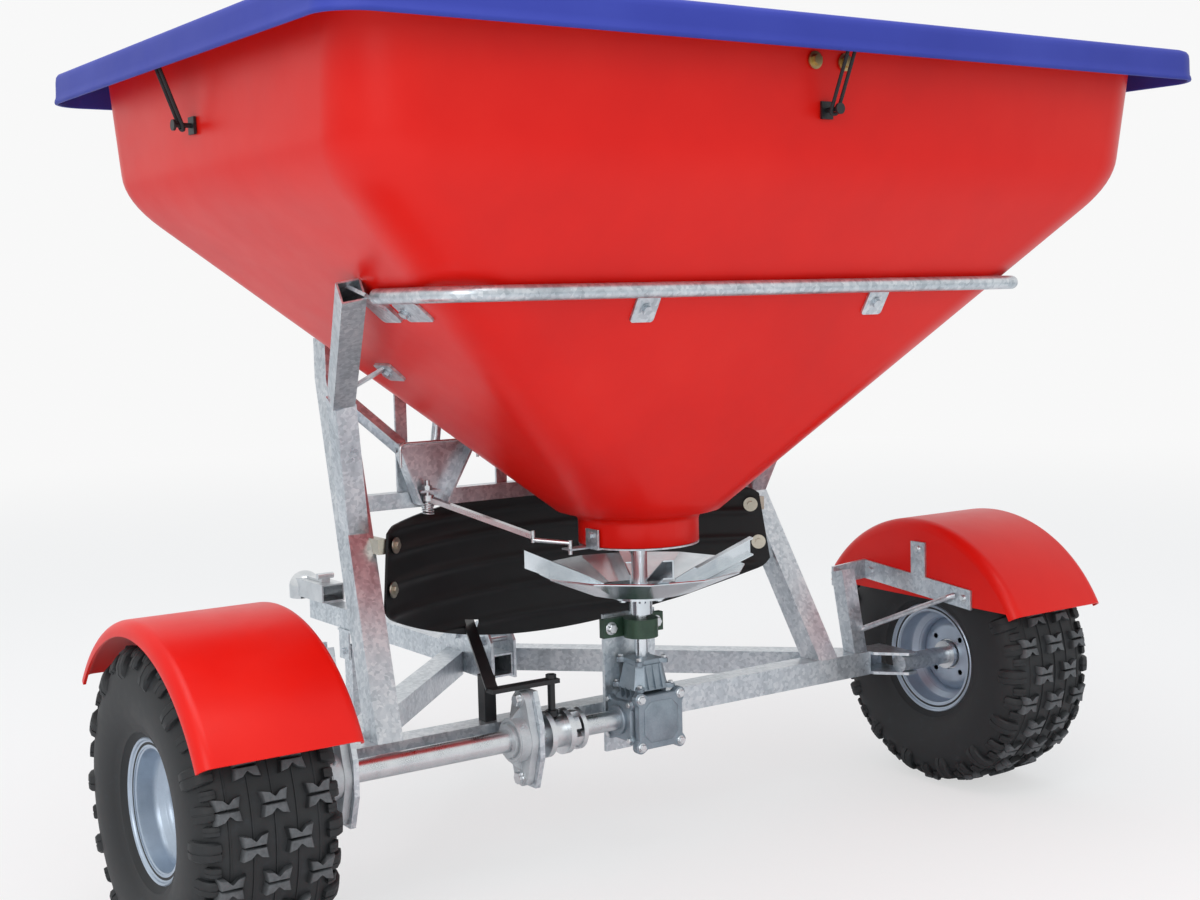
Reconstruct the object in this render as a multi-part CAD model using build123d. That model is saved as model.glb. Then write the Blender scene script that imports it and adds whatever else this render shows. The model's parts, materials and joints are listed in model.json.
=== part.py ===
# Towed single-disc spreader: moulded hopper on a welded tube frame,
# two pneumatic wheels, a spinning disc driven from the left wheel.
#
# All lengths are millimetres. While it is built, X points forward along the
# drawbar, Y to the left and Z up, with X = 0 on the wheel axis and Z = 0 on
# the ground. The finished part is moved along X so that its origin lies under
# the middle of its bounding box.

from build123d import *
from math import atan2, cos, degrees, radians, sin, sqrt
import os

# General clearances
seat_gap = 0.3            # between pieces that rest on each other
running_gap = 0.05        # radial, between a shaft and its bore
moving_gap = 6.0          # between pieces that pass each other

# Wheels
tyre_radius = 275.0       # to the tips of the lugs
tyre_width = 240.0
lug_height = 12.0
lug_count = 14           # in each row round the tyre
lug_length = 34.0
lug_breadth = 24.0
wheel_offset = 868.0      # centre of each tyre from the middle of the machine
rim_seat_radius = 101.6
rim_flange_radius = 115.5
rim_width = 187.0
rim_wall = 4.0
rim_well_radius = 82.0
rim_disc_inset = 40.0     # rim disc, towards the machine from the tyre centre
hub_hole_radius = 33.0
wheel_bolt_circle = 50.0
wheel_bolt_count = 4
axle_height = tyre_radius

# Frame tubes
beam_size = 50.0
beam_wall = 4.0
beam_rear_x = 45.0        # rear face of the cross beam, ahead of the axle line
beam_left_y = 635.0
beam_right_y = 640.0
branch_size = 40.0
branch_wall = 3.0
cross_size = 30.0
cross_wall = 3.0
upright_foot_y = 515.0
upright_lean_x = 0.498    # forward travel for each unit of height
upright_lean_y = 0.122    # inward travel for each unit of height
upright_bend_z = 930.0
upright_top_z = 1006.0
cross_tube_z = 697.0
branch_foot_z = 640.0
branch_knee = (150.0, 535.0, 900.0)
branch_top = (-158.0, 660.0, 1090.0)

# Drawbar
drawbar_rear_x = 510.0
drawbar_front_x = 1430.0
drawbar_z = 285.0
leg_foot_y = 600.0        # where each leg's centre line meets the beam
gusset_thickness = 6.0

# Coupler
coupler_length = 210.0
coupler_width = 62.0
coupler_wall = 4.0
ball_radius = 25.0
ball_x = 1510.0
coupler_drop = 46.0       # depth of the pressed channel

# Parking stand
stand_x = 1225.0
stand_pivot_z = 205.0
stand_size = 40.0
stand_wall = 3.0
stand_foot = 90.0
stand_foot_thickness = 6.0
stand_pin_radius = 8.0
cheek_thickness = 5.0

# Hopper
spout_radius = 114.0
spout_bottom_z = 611.0
spout_top_z = 668.0
throat_half = 140.0
throat_corner = 115.0
bend_rounding = 24.0
bend_half_x = 508.0
bend_half_y = 817.0
bend_z = 1261.0
wall_top_half_x = 530.0
wall_top_half_y = 826.0
hopper_top_z = 1495.0
hopper_corner = 120.0
hopper_wall = 8.0
rim_overhang = 52.0
rim_corner = 52.0
top_corner = 100.0
rim_thickness = 8.0

# Lid
lid_wall = 4.0
lid_gap = 8.0
lid_lip_z = 1443.0
lid_dome = 18.0

# Hoop round the hopper
hoop_radius = 12.5
hoop_z = 1080.0
hoop_end_x = -185.0

# Driving line
axle_shaft_radius = 20.0
bearing_plate_y = 252.0
bearing_plate_thickness = 10.0
bearing_length = 175.0
bearing_half_width = 42.0
bearing_bolt_spacing = 144.0
bearing_base = 14.0
bearing_boss_radius = 41.0
bearing_boss_length = 34.0
bearing_ring_radius = 31.0
collar_radius = 43.0
jaw_radius = 36.0
dog_count = 3
input_shaft_radius = 19.0

# Gearbox, its plate and the upper bearing
gearbox_half = 58.0
gearbox_rear_x = -60.0
gearbox_plate_thickness = 8.0
gearbox_plate_width = 120.0
gearbox_plate_bottom_z = 205.0
gearbox_plate_top_z = 470.0
neck_top_z = 388.0
neck_radius = 34.0
output_shaft_radius = 12.5
pillow_z = 445.0
pillow_width = 140.0
pillow_height = 36.0
pillow_boss_radius = 33.0
pillow_bolt_spacing = 105.0

# Spinning disc
disc_z = 515.0
disc_flat_radius = 100.0
disc_radius = 200.0
disc_rise = 43.0
disc_thickness = 3.0
blade_tip_radius = 222.0
blade_root_radius = 70.0
blade_height = 34.0
blade_flange = 20.0
blade_thickness = 2.5
blade_count = 4
hub_flange_radius = 56.0
hub_boss_radius = 23.0
sleeve_radius = 15.0
agitator_top_z = 760.0

# Deflector behind the disc
deflector_end_x = 172.0
deflector_end_y = 446.0
deflector_bulge = 150.0
deflector_thickness = 5.0
deflector_edge_y = 464.0
deflector_low = (499.0, 393.0)     # lower edge at the ends and in the middle
deflector_high = (660.0, 688.0)    # upper edge at the ends and in the middle
deflector_ribs = (440.0, 497.0, 554.0, 611.0, 655.0)
rib_height = 16.0
rib_depth = 4.0
deflector_bolts_at = ((428.0, 626.0), (441.0, 546.0))

# Mudguards
guard_radius = 325.0
guard_drop = 18.0         # centre of the curve, below the wheel's centre
guard_round = 22.0        # rounding of the long edges
guard_wall = 4.0
guard_inner_y = 722.0
guard_outer_y = 990.0
guard_rear_angle = 28.0
guard_front_angle = 142.0
guard_skirt_z = 412.0
strip_thickness = 5.0
strip_height = 41.0
strip_front = (148.0, 480.0)
strip_rear = (-170.0, 450.0)
tab_front_x = 0.0
tab_width = 41.0
tab_top_z = 536.0
post_size = 35.0
post_y = 615.0
post_foot_x = 62.0
post_head_x = 98.0
brace_radius = 6.0

beam_centre_x = beam_rear_x + beam_size / 2
beam_front_x = beam_rear_x + beam_size
beam_top_z = axle_height + beam_size / 2
plate_rear_x = beam_rear_x - gearbox_plate_thickness

lid_half_x = wall_top_half_x + rim_overhang + lid_gap + lid_wall
lid_half_y = wall_top_half_y + rim_overhang + lid_gap + lid_wall
coupler_front_x = ball_x + ball_radius + coupler_wall + 12.0
shift_x = -(coupler_front_x - lid_half_x) / 2

os.makedirs("parts", exist_ok=True)


def save(name, shape):
    placed = Pos(shift_x, 0, 0) * shape
    placed.label = name
    export_step(placed, f"parts/{name}.step")


def block(x0, x1, y0, y1, z0, z1):
    """A box between two corners."""
    size = (abs(x1 - x0), abs(y1 - y0), abs(z1 - z0))
    return Pos((x0 + x1) / 2, (y0 + y1) / 2, (z0 + z1) / 2) * Box(*size)


def rod(start, end, radius):
    """A round bar between two points."""
    a, b = Vector(*start), Vector(*end)
    plane = Plane(origin=a, z_dir=b - a)
    return extrude(plane * Circle(radius), (b - a).length)


def y_rod(y0, y1, radius, x=0.0, z=axle_height):
    return rod((x, y0, z), (x, y1, z), radius)


def z_rod(z0, z1, radius, x=0.0, y=0.0):
    return rod((x, y, z0), (x, y, z1), radius)


def mirrored(shape):
    """The same piece on the other side of the machine."""
    return mirror(shape, about=Plane.XZ)


def square_prism(start, end, size, side):
    """A square bar between two points, one pair of faces square to side."""
    a, b = Vector(*start), Vector(*end)
    plane = Plane(origin=a, x_dir=Vector(*side), z_dir=b - a)
    return extrude(plane * Rectangle(size, size), (b - a).length)


def square_run(points, size, side):
    """A square bar that follows straight stretches, mitred where it turns."""
    vectors = [Vector(*p) for p in points]
    pieces = []
    for i in range(len(vectors) - 1):
        a, b = vectors[i], vectors[i + 1]
        along = (b - a).normalized()
        start = a - along * size if i > 0 else a
        end = b + along * size if i < len(vectors) - 2 else b
        cross = Vector(*side) - along * along.dot(Vector(*side))
        bar = square_prism(start, end, size, cross)
        if i > 0:
            before = (a - vectors[i - 1]).normalized()
            bar = split(bar, bisect_by=Plane(origin=a, z_dir=before + along))
        if i < len(vectors) - 2:
            after = (vectors[i + 2] - b).normalized()
            cut = Plane(origin=b, z_dir=(after + along) * -1)
            bar = split(bar, bisect_by=cut)
        pieces.append(bar)
    whole = pieces[0]
    for piece in pieces[1:]:
        whole = whole + piece
    return whole


def square_tube(points, size, wall, side=(0, 1, 0)):
    """A square tube with open ends along straight stretches."""
    vectors = [Vector(*p) for p in points]
    first = (vectors[1] - vectors[0]).normalized()
    last = (vectors[-1] - vectors[-2]).normalized()
    inner = [vectors[0] - first, *vectors[1:-1], vectors[-1] + last]
    inner = [(v.X, v.Y, v.Z) for v in inner]
    return square_run(points, size, side) - square_run(inner, size - 2 * wall, side)


def hexagon_bolt(centre, axis, radius, height):
    """A hexagon head standing on a surface at centre."""
    plane = Plane(origin=Vector(*centre), z_dir=Vector(*axis))
    return extrude(plane * RegularPolygon(radius, 6), height)


def spin_profile(points, y_sign=1):
    """Revolve an outline of (y, radius) points about the wheel axis."""
    line = Polyline(*[(0, y_sign * y, r) for y, r in points], close=True)
    ring = revolve(make_face(line), Axis((0, 0, 0), (0, 1, 0)), 360)
    return Pos(0, 0, axle_height) * ring


# Hopper sizes at any height of its sloping walls
def slope_share(z):
    return (z - spout_top_z) / (bend_z - spout_top_z)


def slope_half_x(z):
    return throat_half + (bend_half_x - throat_half) * slope_share(z)


def slope_half_y(z):
    return throat_half + (bend_half_y - throat_half) * slope_share(z)


slope_run_x = (bend_half_x - throat_half) / (bend_z - spout_top_z)
slope_run_y = (bend_half_y - throat_half) / (bend_z - spout_top_z)


# Tyres and rims
def tyre():
    """Carcass with rows of square lugs, staggered from row to row."""
    half = tyre_width / 2
    bead = rim_width / 2 - rim_wall - seat_gap
    seat = rim_seat_radius + seat_gap
    carcass = tyre_radius - lug_height
    right = [
        (bead, seat),
        (bead, rim_flange_radius),
        (half - 14, rim_flange_radius + 24),
        (half - 2, carcass - 95),
        (half, carcass - 68),
        (half - 4, carcass - 41),
        (half - 14, carcass - 19),
        (half - 44, carcass - 5),
    ]
    left = [(-y, r) for y, r in reversed(right)]
    body = spin_profile(right + [(0, carcass)] + left)
    rows = [
        (0, 0, lug_breadth, 0.5),
        (1, 2, lug_breadth, 0.0),
        (2, 7, lug_breadth, 0.5),
        (2.78, 16, lug_breadth - 4, 0.0),
    ]
    lugs = []
    for place, drop, breadth, stagger in rows:
        for y in {place * 36.0, -place * 36.0}:
            top = tyre_radius - drop
            lug = block(top - 30, top, y - breadth / 2, y + breadth / 2, -lug_length / 2, lug_length / 2)
            for i in range(lug_count):
                turn = (i + stagger) * 360 / lug_count
                lugs.append(Pos(0, 0, axle_height) * (Rot(0, turn, 0) * lug))
    return body.fuse(*lugs)


def rim(side):
    half = rim_width / 2
    well = rim_well_radius
    outer = [
        (-half, rim_flange_radius),
        (-half + rim_wall, rim_flange_radius),
        (-half + rim_wall, rim_seat_radius),
        (-half + 34, rim_seat_radius),
        (-half + 48, well),
        (half - 58, well),
        (half - 40, rim_seat_radius),
        (half - rim_wall, rim_seat_radius),
        (half - rim_wall, rim_flange_radius),
        (half, rim_flange_radius),
    ]
    inner = [
        (half, rim_seat_radius - rim_wall),
        (half - 42, rim_seat_radius - rim_wall),
        (half - 60, well - rim_wall),
        (-half + 50, well - rim_wall),
        (-half + 36, rim_seat_radius - rim_wall),
        (-half, rim_seat_radius - rim_wall),
    ]
    barrel = spin_profile(outer + inner)
    face = -rim_disc_inset
    disc = [
        (face, hub_hole_radius),
        (face + 4, hub_hole_radius),
        (face + 4, 66.0),
        (face + 16, well - rim_wall + 1),
        (face + 12, well - rim_wall + 1),
        (face, 68.0),
    ]
    body = barrel + spin_profile(disc)
    for i in range(wheel_bolt_count):
        turn = radians(45 + i * 360 / wheel_bolt_count)
        x = wheel_bolt_circle * cos(turn)
        z = axle_height + wheel_bolt_circle * sin(turn)
        body = body - y_rod(face - 5, face + 10, 6.5, x, z)
    if side < 0:
        body = mirrored(body)
    return Pos(0, side * wheel_offset, 0) * body


# The wheel hub bolts to the outer side of the rim disc.
hub_face_y = wheel_offset - rim_disc_inset
hub_flange_thickness = 10.0
stub_radius = 19.0
stub_inner_y = 700.0
stub_end_y = hub_face_y + 22.0


def hub_flange():
    """Flange that carries the rim, with wheel bolts through its disc."""
    inner = hub_face_y + rim_wall + seat_gap
    outer = inner + hub_flange_thickness
    flange = y_rod(inner, outer, 62.0)
    bolts = None
    for i in range(wheel_bolt_count):
        turn = radians(45 + i * 360 / wheel_bolt_count)
        x = wheel_bolt_circle * cos(turn)
        z = axle_height + wheel_bolt_circle * sin(turn)
        stud = y_rod(hub_face_y, outer + 12, 6.0, x, z)
        nut = hexagon_bolt((x, outer - 1, z), (0, 1, 0), 11.0, 10.0)
        bolt = stud + nut
        bolts = bolt if bolts is None else bolts + bolt
    return flange + bolts


def right_hub():
    boss = y_rod(hub_face_y - 12, stub_end_y + 8, 30.0)
    body = hub_flange() + boss
    body = body - y_rod(hub_face_y - 50, stub_end_y + 2, stub_radius + running_gap)
    return mirrored(body)


collar_y = 232.0          # outer end of the sliding collar
collar_length = 52.0
dog_depth = 16.0
jaw_face_y = collar_y - collar_length - 3.0


def axle_shaft():
    shaft = y_rod(collar_y - 30, hub_face_y + 22, axle_shaft_radius)
    return shaft + hub_flange()


def dogs(y0, y1, turn, width, outer, inner):
    """Driving teeth of the clutch as ring sectors."""
    ring = y_rod(y0, y1, outer) - y_rod(y0 - 1, y1 + 1, inner)
    teeth = None
    for i in range(dog_count):
        angle = turn + i * 360 / dog_count
        wedge = block(0, 80, y0 - 1, y1 + 1, -width / 2, width / 2)
        wedge = Pos(0, 0, axle_height) * (Rot(0, angle, 0) * wedge)
        tooth = ring & wedge
        teeth = tooth if teeth is None else teeth + tooth
    return teeth


def clutch_collar():
    flange = 11.0
    back = collar_y - collar_length
    body = y_rod(back, collar_y, 29.0)
    body = body + y_rod(collar_y - flange, collar_y, collar_radius)
    body = body + y_rod(back, back + flange, collar_radius)
    body = body + dogs(back - dog_depth, back + 1, 90, 22.0, jaw_radius, 24.0)
    return body - y_rod(back - 30, collar_y + 1, axle_shaft_radius + running_gap)


def input_shaft():
    ring_y = jaw_face_y - dog_depth
    ring = y_rod(ring_y - 10, ring_y - 1, jaw_radius + 3)
    teeth = dogs(ring_y - 2, jaw_face_y, 30, 22.0, jaw_radius, 24.0)
    shaft = y_rod(gearbox_half - 13, ring_y - 8, input_shaft_radius)
    return shaft + ring + teeth


# Frame
def axle_beam():
    tube = square_tube(
        [(beam_centre_x, -beam_right_y, axle_height), (beam_centre_x, beam_left_y, axle_height)],
        beam_size,
        beam_wall,
        (0, 0, 1),
    )
    return tube


def stub_axle():
    """Right stub axle between two plates at the end of the beam."""
    plate = 6.0
    gap = stub_radius - 1.0
    outline = Polyline(
        (beam_front_x, -beam_right_y - seat_gap),
        (beam_rear_x - 8, -beam_right_y - seat_gap),
        (-stub_radius, -stub_inner_y + 10),
        (-stub_radius, -stub_inner_y - 14),
        (beam_front_x, -stub_inner_y - 14),
        close=True,
    )
    face = make_face(outline)
    top = Pos(0, 0, axle_height + gap) * extrude(face, plate)
    bottom = Pos(0, 0, axle_height - gap - plate) * extrude(face, plate)
    web = block(
        beam_front_x - plate,
        beam_front_x,
        -beam_right_y - seat_gap,
        -stub_inner_y - 14,
        axle_height - gap - plate,
        axle_height + gap + plate,
    )
    bar = y_rod(-stub_inner_y + 20, -stub_end_y, stub_radius)
    return top + bottom + web + bar


def upright_point(z):
    rise = z - beam_top_z
    x = beam_centre_x + upright_lean_x * rise
    return (x, upright_foot_y - upright_lean_y * rise, z)


def side_frame():
    foot = upright_point(beam_top_z - 40)
    bend = upright_point(upright_bend_z)
    top = (bend[0], bend[1], upright_top_z)
    post = square_run([foot, bend, top], beam_size, (0, 1, 0))
    post_bore = square_run(
        [foot, bend, (top[0], top[1], top[2] + 1)], beam_size - 2 * beam_wall, (0, 1, 0)
    )
    branch_foot = upright_point(branch_foot_z)
    route = [branch_foot, branch_knee, branch_top]
    branch = square_run(route, branch_size, (0, 1, 0))
    direction = (Vector(*branch_top) - Vector(*branch_knee)).normalized()
    open_end = Vector(*branch_top) + direction
    bore_route = [branch_foot, branch_knee, (open_end.X, open_end.Y, open_end.Z)]
    bore = square_run(bore_route, branch_size - 2 * branch_wall, (0, 1, 0))
    tube = post - post_bore
    arm = branch - bore - post
    body = tube + arm
    strap_foot = Vector(*branch_knee) + Vector(-12, 0, 14)
    strap_head = Vector(112, slope_half_y(958) - 12, 958)
    along = (strap_head - strap_foot).normalized()
    strap_plane = Plane(origin=strap_foot, x_dir=(0.9, 0, -0.35), z_dir=along)
    strap = extrude(strap_plane * Rectangle(46, 5), (strap_head - strap_foot).length)
    ear = left_slope(-128, hoop_z - 22).location * (
        Pos(0, 4, seat_gap) * extrude(RectangleRounded(64, 56, 8), 6)
    )
    ear_foot = Vector(*branch_top) + Vector(6, -8, 2)
    ear_head = Vector(-130, slope_half_y(hoop_z - 14) + 6, hoop_z - 14)
    reach = ear_head - ear_foot
    ear_plane = Plane(origin=ear_foot, x_dir=(1, 0, 0.2), z_dir=reach)
    ear = ear + extrude(ear_plane * Rectangle(54, 6), reach.length)
    lug = slope_tab(left_slope(98, 950), 60, 44, 5, -6)
    body = body + strap + ear + lug
    below = block(-300, 400, 0, 800, 0, beam_top_z + seat_gap)
    return body - below - hopper_body(-seat_gap)


def upright_envelope(side):
    """The straight part of an upright, larger all round by the seat gap."""
    ends = [upright_point(beam_top_z - 40), upright_point(upright_bend_z)]
    bar = square_run(ends, beam_size + 2 * seat_gap, (0, 1, 0))
    return bar if side > 0 else mirrored(bar)


def between_uprights(piece):
    """The middle piece that is left when both uprights are cut away."""
    rest = piece - upright_envelope(1) - upright_envelope(-1)
    return min(rest.solids(), key=lambda part: abs(part.center().Y))


def cross_tube():
    x, y, z = upright_point(cross_tube_z)
    tube = square_tube([(x, -y, z), (x, y, z)], cross_size, cross_wall, (0, 0, 1))
    return between_uprights(tube)


def drawbar_tube():
    z = drawbar_z
    ends = [(drawbar_rear_x, 0, z), (drawbar_front_x, 0, z)]
    return square_tube(ends, beam_size, beam_wall)


def drawbar_leg():
    run = leg_foot_y - beam_size / 2
    start = (beam_front_x - 60, leg_foot_y + 60, axle_height)
    end = (beam_front_x + run + 60, beam_size / 2 - 60, axle_height)
    tube = square_tube([start, end], beam_size, beam_wall, (0, 0, 1))
    keep = block(
        beam_front_x + seat_gap,
        beam_front_x + run + 120,
        beam_size / 2 + gusset_thickness + 2 * seat_gap,
        leg_foot_y + 80,
        axle_height - 60,
        axle_height + 60,
    )
    return tube & keep


def drawbar_gusset():
    """Cheek between the drawbar and one leg, with its two bolts."""
    y0 = beam_size / 2 + seat_gap
    outline = Polyline(
        (drawbar_rear_x - 4, 0, drawbar_z - 30),
        (drawbar_rear_x + 205, 0, drawbar_z - 30),
        (drawbar_rear_x + 225, 0, drawbar_z + 30),
        (drawbar_rear_x + 150, 0, drawbar_z + 72),
        (drawbar_rear_x + 10, 0, drawbar_z + 72),
        (drawbar_rear_x - 4, 0, drawbar_z + 52),
        close=True,
    )
    plate = Pos(0, y0, 0) * extrude(make_face(outline), amount=gusset_thickness, dir=(0, 1, 0))
    for x in (drawbar_rear_x + 30, drawbar_rear_x + 140):
        z = drawbar_z + 52
        plate = plate + hexagon_bolt((x, y0 + gusset_thickness, z), (0, 1, 0), 10.0, 8.0)
        plate = plate + y_rod(0, y0 + 1, 6.0, x, z)
    return plate


def coupler():
    """Pressed channel with a domed socket over the ball."""
    rear = drawbar_front_x - 90
    base = drawbar_z + beam_size / 2 + seat_gap
    outer_r = ball_radius + coupler_wall + 12
    ball_z = base + ball_radius - 5
    dome = Pos(ball_x, 0, ball_z) * Sphere(outer_r)
    skirt = z_rod(base - 8, ball_z, outer_r, ball_x)
    top = base + coupler_drop
    spine = block(rear, ball_x, -coupler_width / 2, coupler_width / 2, base, top)
    body = dome + skirt + spine
    inner = block(
        rear - 1,
        ball_x - ball_radius - coupler_wall,
        -coupler_width / 2 + coupler_wall,
        coupler_width / 2 - coupler_wall,
        base - 10,
        top - coupler_wall,
    )
    socket = Pos(ball_x, 0, ball_z) * Sphere(ball_radius + 0.5)
    mouth = z_rod(base - 10, ball_z, ball_radius + 0.5, ball_x)
    low = block(rear - 50, ball_x + 100, -100, 100, base - 60, base - 8)
    body = body - inner - socket - mouth - low
    floor = block(
        rear, drawbar_front_x, -coupler_width / 2 + 1, coupler_width / 2 - 1, base, base + coupler_wall
    )
    return body + floor


def coupler_handle():
    base = drawbar_z + beam_size / 2 + seat_gap
    top = base + coupler_drop + seat_gap
    mid = (drawbar_front_x - 90 + ball_x) / 2
    lever = block(mid - 40, mid + 45, -12, 12, top, top + 6)
    grip = y_rod(-22, 22, 8, mid - 40, top + 16)
    post = block(mid - 44, mid - 36, -12, 12, top, top + 14)
    return lever + post + grip


def stand_bracket():
    """Two cheeks under the drawbar with the pivot pin of the stand."""
    half = stand_size / 2 + 5.5
    top = drawbar_z - beam_size / 2 - seat_gap
    body = block(stand_x - 60, stand_x + 34, -half - cheek_thickness, half + cheek_thickness, top - 5, top)
    for side in (-1, 1):
        y0 = side * half
        y1 = side * (half + cheek_thickness)
        cheek = block(stand_x - 26, stand_x + 26, y0, y1, stand_pivot_z - 20, top)
        body = body + cheek
    pin = y_rod(-half - 12, half + 12, stand_pin_radius, stand_x, stand_pivot_z)
    return body + pin


def stand_leg():
    top = stand_pivot_z + 12
    tube = square_tube([(stand_x, 0, stand_foot_thickness - 1), (stand_x, 0, top)], stand_size, stand_wall)
    half = stand_foot / 2
    foot = block(stand_x - half, stand_x + half, -half, half, 0, stand_foot_thickness)
    bore = y_rod(-60, 60, stand_pin_radius + running_gap, stand_x, stand_pivot_z)
    return tube + foot - bore


# Hopper, hoop and lid
def rounded(half_x, half_y, corner, z):
    return Pos(0, 0, z) * RectangleRounded(2 * half_x, 2 * half_y, corner)


def hopper_body(inset):
    """The hopper's form above its spout, moved in from its surface by inset."""
    reach = bend_rounding
    throat = throat_half - inset
    sections = [rounded(throat, throat, throat_corner - inset / 2, spout_top_z + inset)]
    wall_share = reach / (hopper_top_z - bend_z)
    wall_x = bend_half_x + (wall_top_half_x - bend_half_x) * wall_share
    wall_y = bend_half_y + (wall_top_half_y - bend_half_y) * wall_share
    for i in range(5):
        t = i / 4
        before, at, after = (1 - t) ** 2, 2 * t * (1 - t), t**2
        half_x = before * slope_half_x(bend_z - reach) + at * bend_half_x + after * wall_x
        half_y = before * slope_half_y(bend_z - reach) + at * bend_half_y + after * wall_y
        z = bend_z + reach * (2 * t - 1)
        sections.append(rounded(half_x - inset, half_y - inset, hopper_corner, z))
    rim_z = hopper_top_z + max(inset, 0)
    sections.append(rounded(wall_top_half_x - inset, wall_top_half_y - inset, top_corner, rim_z))
    return loft(sections, ruled=True)


def hopper():
    spout = z_rod(spout_bottom_z, spout_top_z + hopper_wall / 2, spout_radius)
    flange = extrude(
        rounded(
            wall_top_half_x + rim_overhang,
            wall_top_half_y + rim_overhang,
            rim_corner,
            hopper_top_z - rim_thickness,
        ),
        rim_thickness,
    )
    bore = z_rod(spout_bottom_z - 1, spout_top_z + 2 * hopper_wall, spout_radius - hopper_wall)
    return hopper_body(0) + spout + flange - hopper_body(hopper_wall) - bore


def hopper_lid():
    base = hopper_top_z + seat_gap
    corner = rim_corner + lid_gap + lid_wall
    outer = extrude(rounded(lid_half_x, lid_half_y, corner, lid_lip_z), base + lid_wall - lid_lip_z)
    inner = extrude(
        rounded(lid_half_x - lid_wall, lid_half_y - lid_wall, corner - lid_wall, lid_lip_z - 1),
        base - lid_lip_z + 1,
    )
    top = base + lid_wall
    crown = loft(
        [
            rounded(lid_half_x - 40, lid_half_y - 40, corner, top),
            rounded(lid_half_x - 190, lid_half_y - 190, corner, top + lid_dome),
        ],
        ruled=True,
    )
    hollow = loft(
        [
            rounded(lid_half_x - 44, lid_half_y - 44, corner, top - lid_wall),
            rounded(lid_half_x - 194, lid_half_y - 194, corner, top + lid_dome - lid_wall),
        ],
        ruled=True,
    )
    return outer + crown - inner - hollow


# Planes that lie on the hopper's rear and left slopes, with X along the
# machine's width or length and Z pointing out of the hopper
def rear_slope(y, z):
    return Plane(
        origin=(-slope_half_x(z), y, z),
        x_dir=(0, 1, 0),
        z_dir=(-1, 0, -slope_run_x),
    )


def left_slope(x, z):
    return Plane(
        origin=(x, slope_half_y(z), z),
        x_dir=(-1, 0, 0),
        z_dir=(0, 1, -slope_run_y),
    )


def slope_tab(plane, width, height, thickness, bolt_x=0.0):
    """A flat tab on a slope of the hopper, with a bolt through it."""
    tab = Pos(0, 0, seat_gap) * extrude(RectangleRounded(width, height, 6), thickness)
    head = Pos(bolt_x, 0, seat_gap + thickness - 0.5) * extrude(RegularPolygon(8.5, 6), 7.0)
    washer = Pos(bolt_x, 0, seat_gap + thickness - 0.5) * extrude(Circle(11), 2.0)
    return plane.location * (tab + washer + head)


def hopper_hoop():
    off_x = (hoop_radius + seat_gap) * sqrt(1 + slope_run_x**2)
    off_y = (hoop_radius + seat_gap) * sqrt(1 + slope_run_y**2)
    x = slope_half_x(hoop_z) + off_x
    y = slope_half_y(hoop_z) + off_y
    bend = hopper_corner * 0.8
    route = FilletPolyline(
        (hoop_end_x, y, hoop_z),
        (-x, y, hoop_z),
        (-x, -y, hoop_z),
        (hoop_end_x, -y, hoop_z),
        radius=bend,
    )
    section = Plane(origin=(hoop_end_x, y, hoop_z), z_dir=(-1, 0, 0)) * Circle(hoop_radius)
    body = sweep(section, path=route)
    for side in (-1, 1):
        body = body + slope_tab(rear_slope(side * 252, hoop_z - 28), 46, 50, 4)
    end_tab = slope_tab(left_slope(hoop_end_x - 34, hoop_z - 24), 80, 44, 4, -24)
    return body + end_tab + mirrored(end_tab)


def wall_half_x(z):
    share = (z - bend_z) / (hopper_top_z - bend_z)
    return bend_half_x + (wall_top_half_x - bend_half_x) * share


def wall_half_y(z):
    share = (z - bend_z) / (hopper_top_z - bend_z)
    return bend_half_y + (wall_top_half_y - bend_half_y) * share


bolt_z = 1437.0
hook_z = 1360.0
hook_radius = 4.0
cord_radius = 3.0
rear_hook_y = -14.0
side_hook_x = 55.0


def hopper_bolts():
    """Washered bolts high on the rear wall."""
    heads = []
    for y in (15.0, -49.0):
        x = -wall_half_x(bolt_z + 14) - seat_gap
        washer = rod((x, y, bolt_z), (x - 3, y, bolt_z), 14.0)
        head = hexagon_bolt((x - 3, y, bolt_z), (-1, 0, 0), 9.0, 7.0)
        heads.append(washer + head)
    return heads


def wall_hook():
    """Peg with a head, pointing along -X from a wall at X = 0."""
    pad = block(-6, -1.7, -12, 12, hook_z - 14, hook_z + 14)
    peg = rod((-2, 0, hook_z), (-36, 0, hook_z), hook_radius)
    head = rod((-33, 0, hook_z), (-37, 0, hook_z), 9.0)
    return pad + peg + head


def lid_cord(edge):
    """Elastic cord from under the lid's lip, round a peg on the wall at X = 0."""
    drop = hook_z - hook_radius - cord_radius - seat_gap
    side = hook_radius + cord_radius + seat_gap
    top_z = lid_lip_z + 14
    route = FilletPolyline(
        (edge, -side, top_z),
        (-20, -side, drop),
        (-20, side, drop),
        (edge, side, top_z),
        radius=5,
    )
    start = Plane(origin=route @ 0, z_dir=route % 0)
    strand = sweep(start * Circle(cord_radius), path=route)
    clip = block(edge - 5, edge + 4, -side - 5, side + 5, top_z - 6, top_z + 8)
    return strand + clip


def round_the_hopper(make):
    """Four copies of a piece, at the walls behind, before and at both sides."""
    rear_x = -wall_half_x(hook_z)
    side_y = wall_half_y(hook_z)
    rear_edge = -(lid_half_x - lid_wall + rear_x) + 5.3
    side_edge = -(lid_half_y - lid_wall - side_y) + 5.3
    rear = Pos(rear_x, rear_hook_y, 0) * make(rear_edge)
    front = Rot(0, 0, 180) * rear
    side = Pos(side_hook_x, side_y, 0) * (Rot(0, 0, -90) * make(side_edge))
    return [rear, front, side, mirrored(side)]


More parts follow.
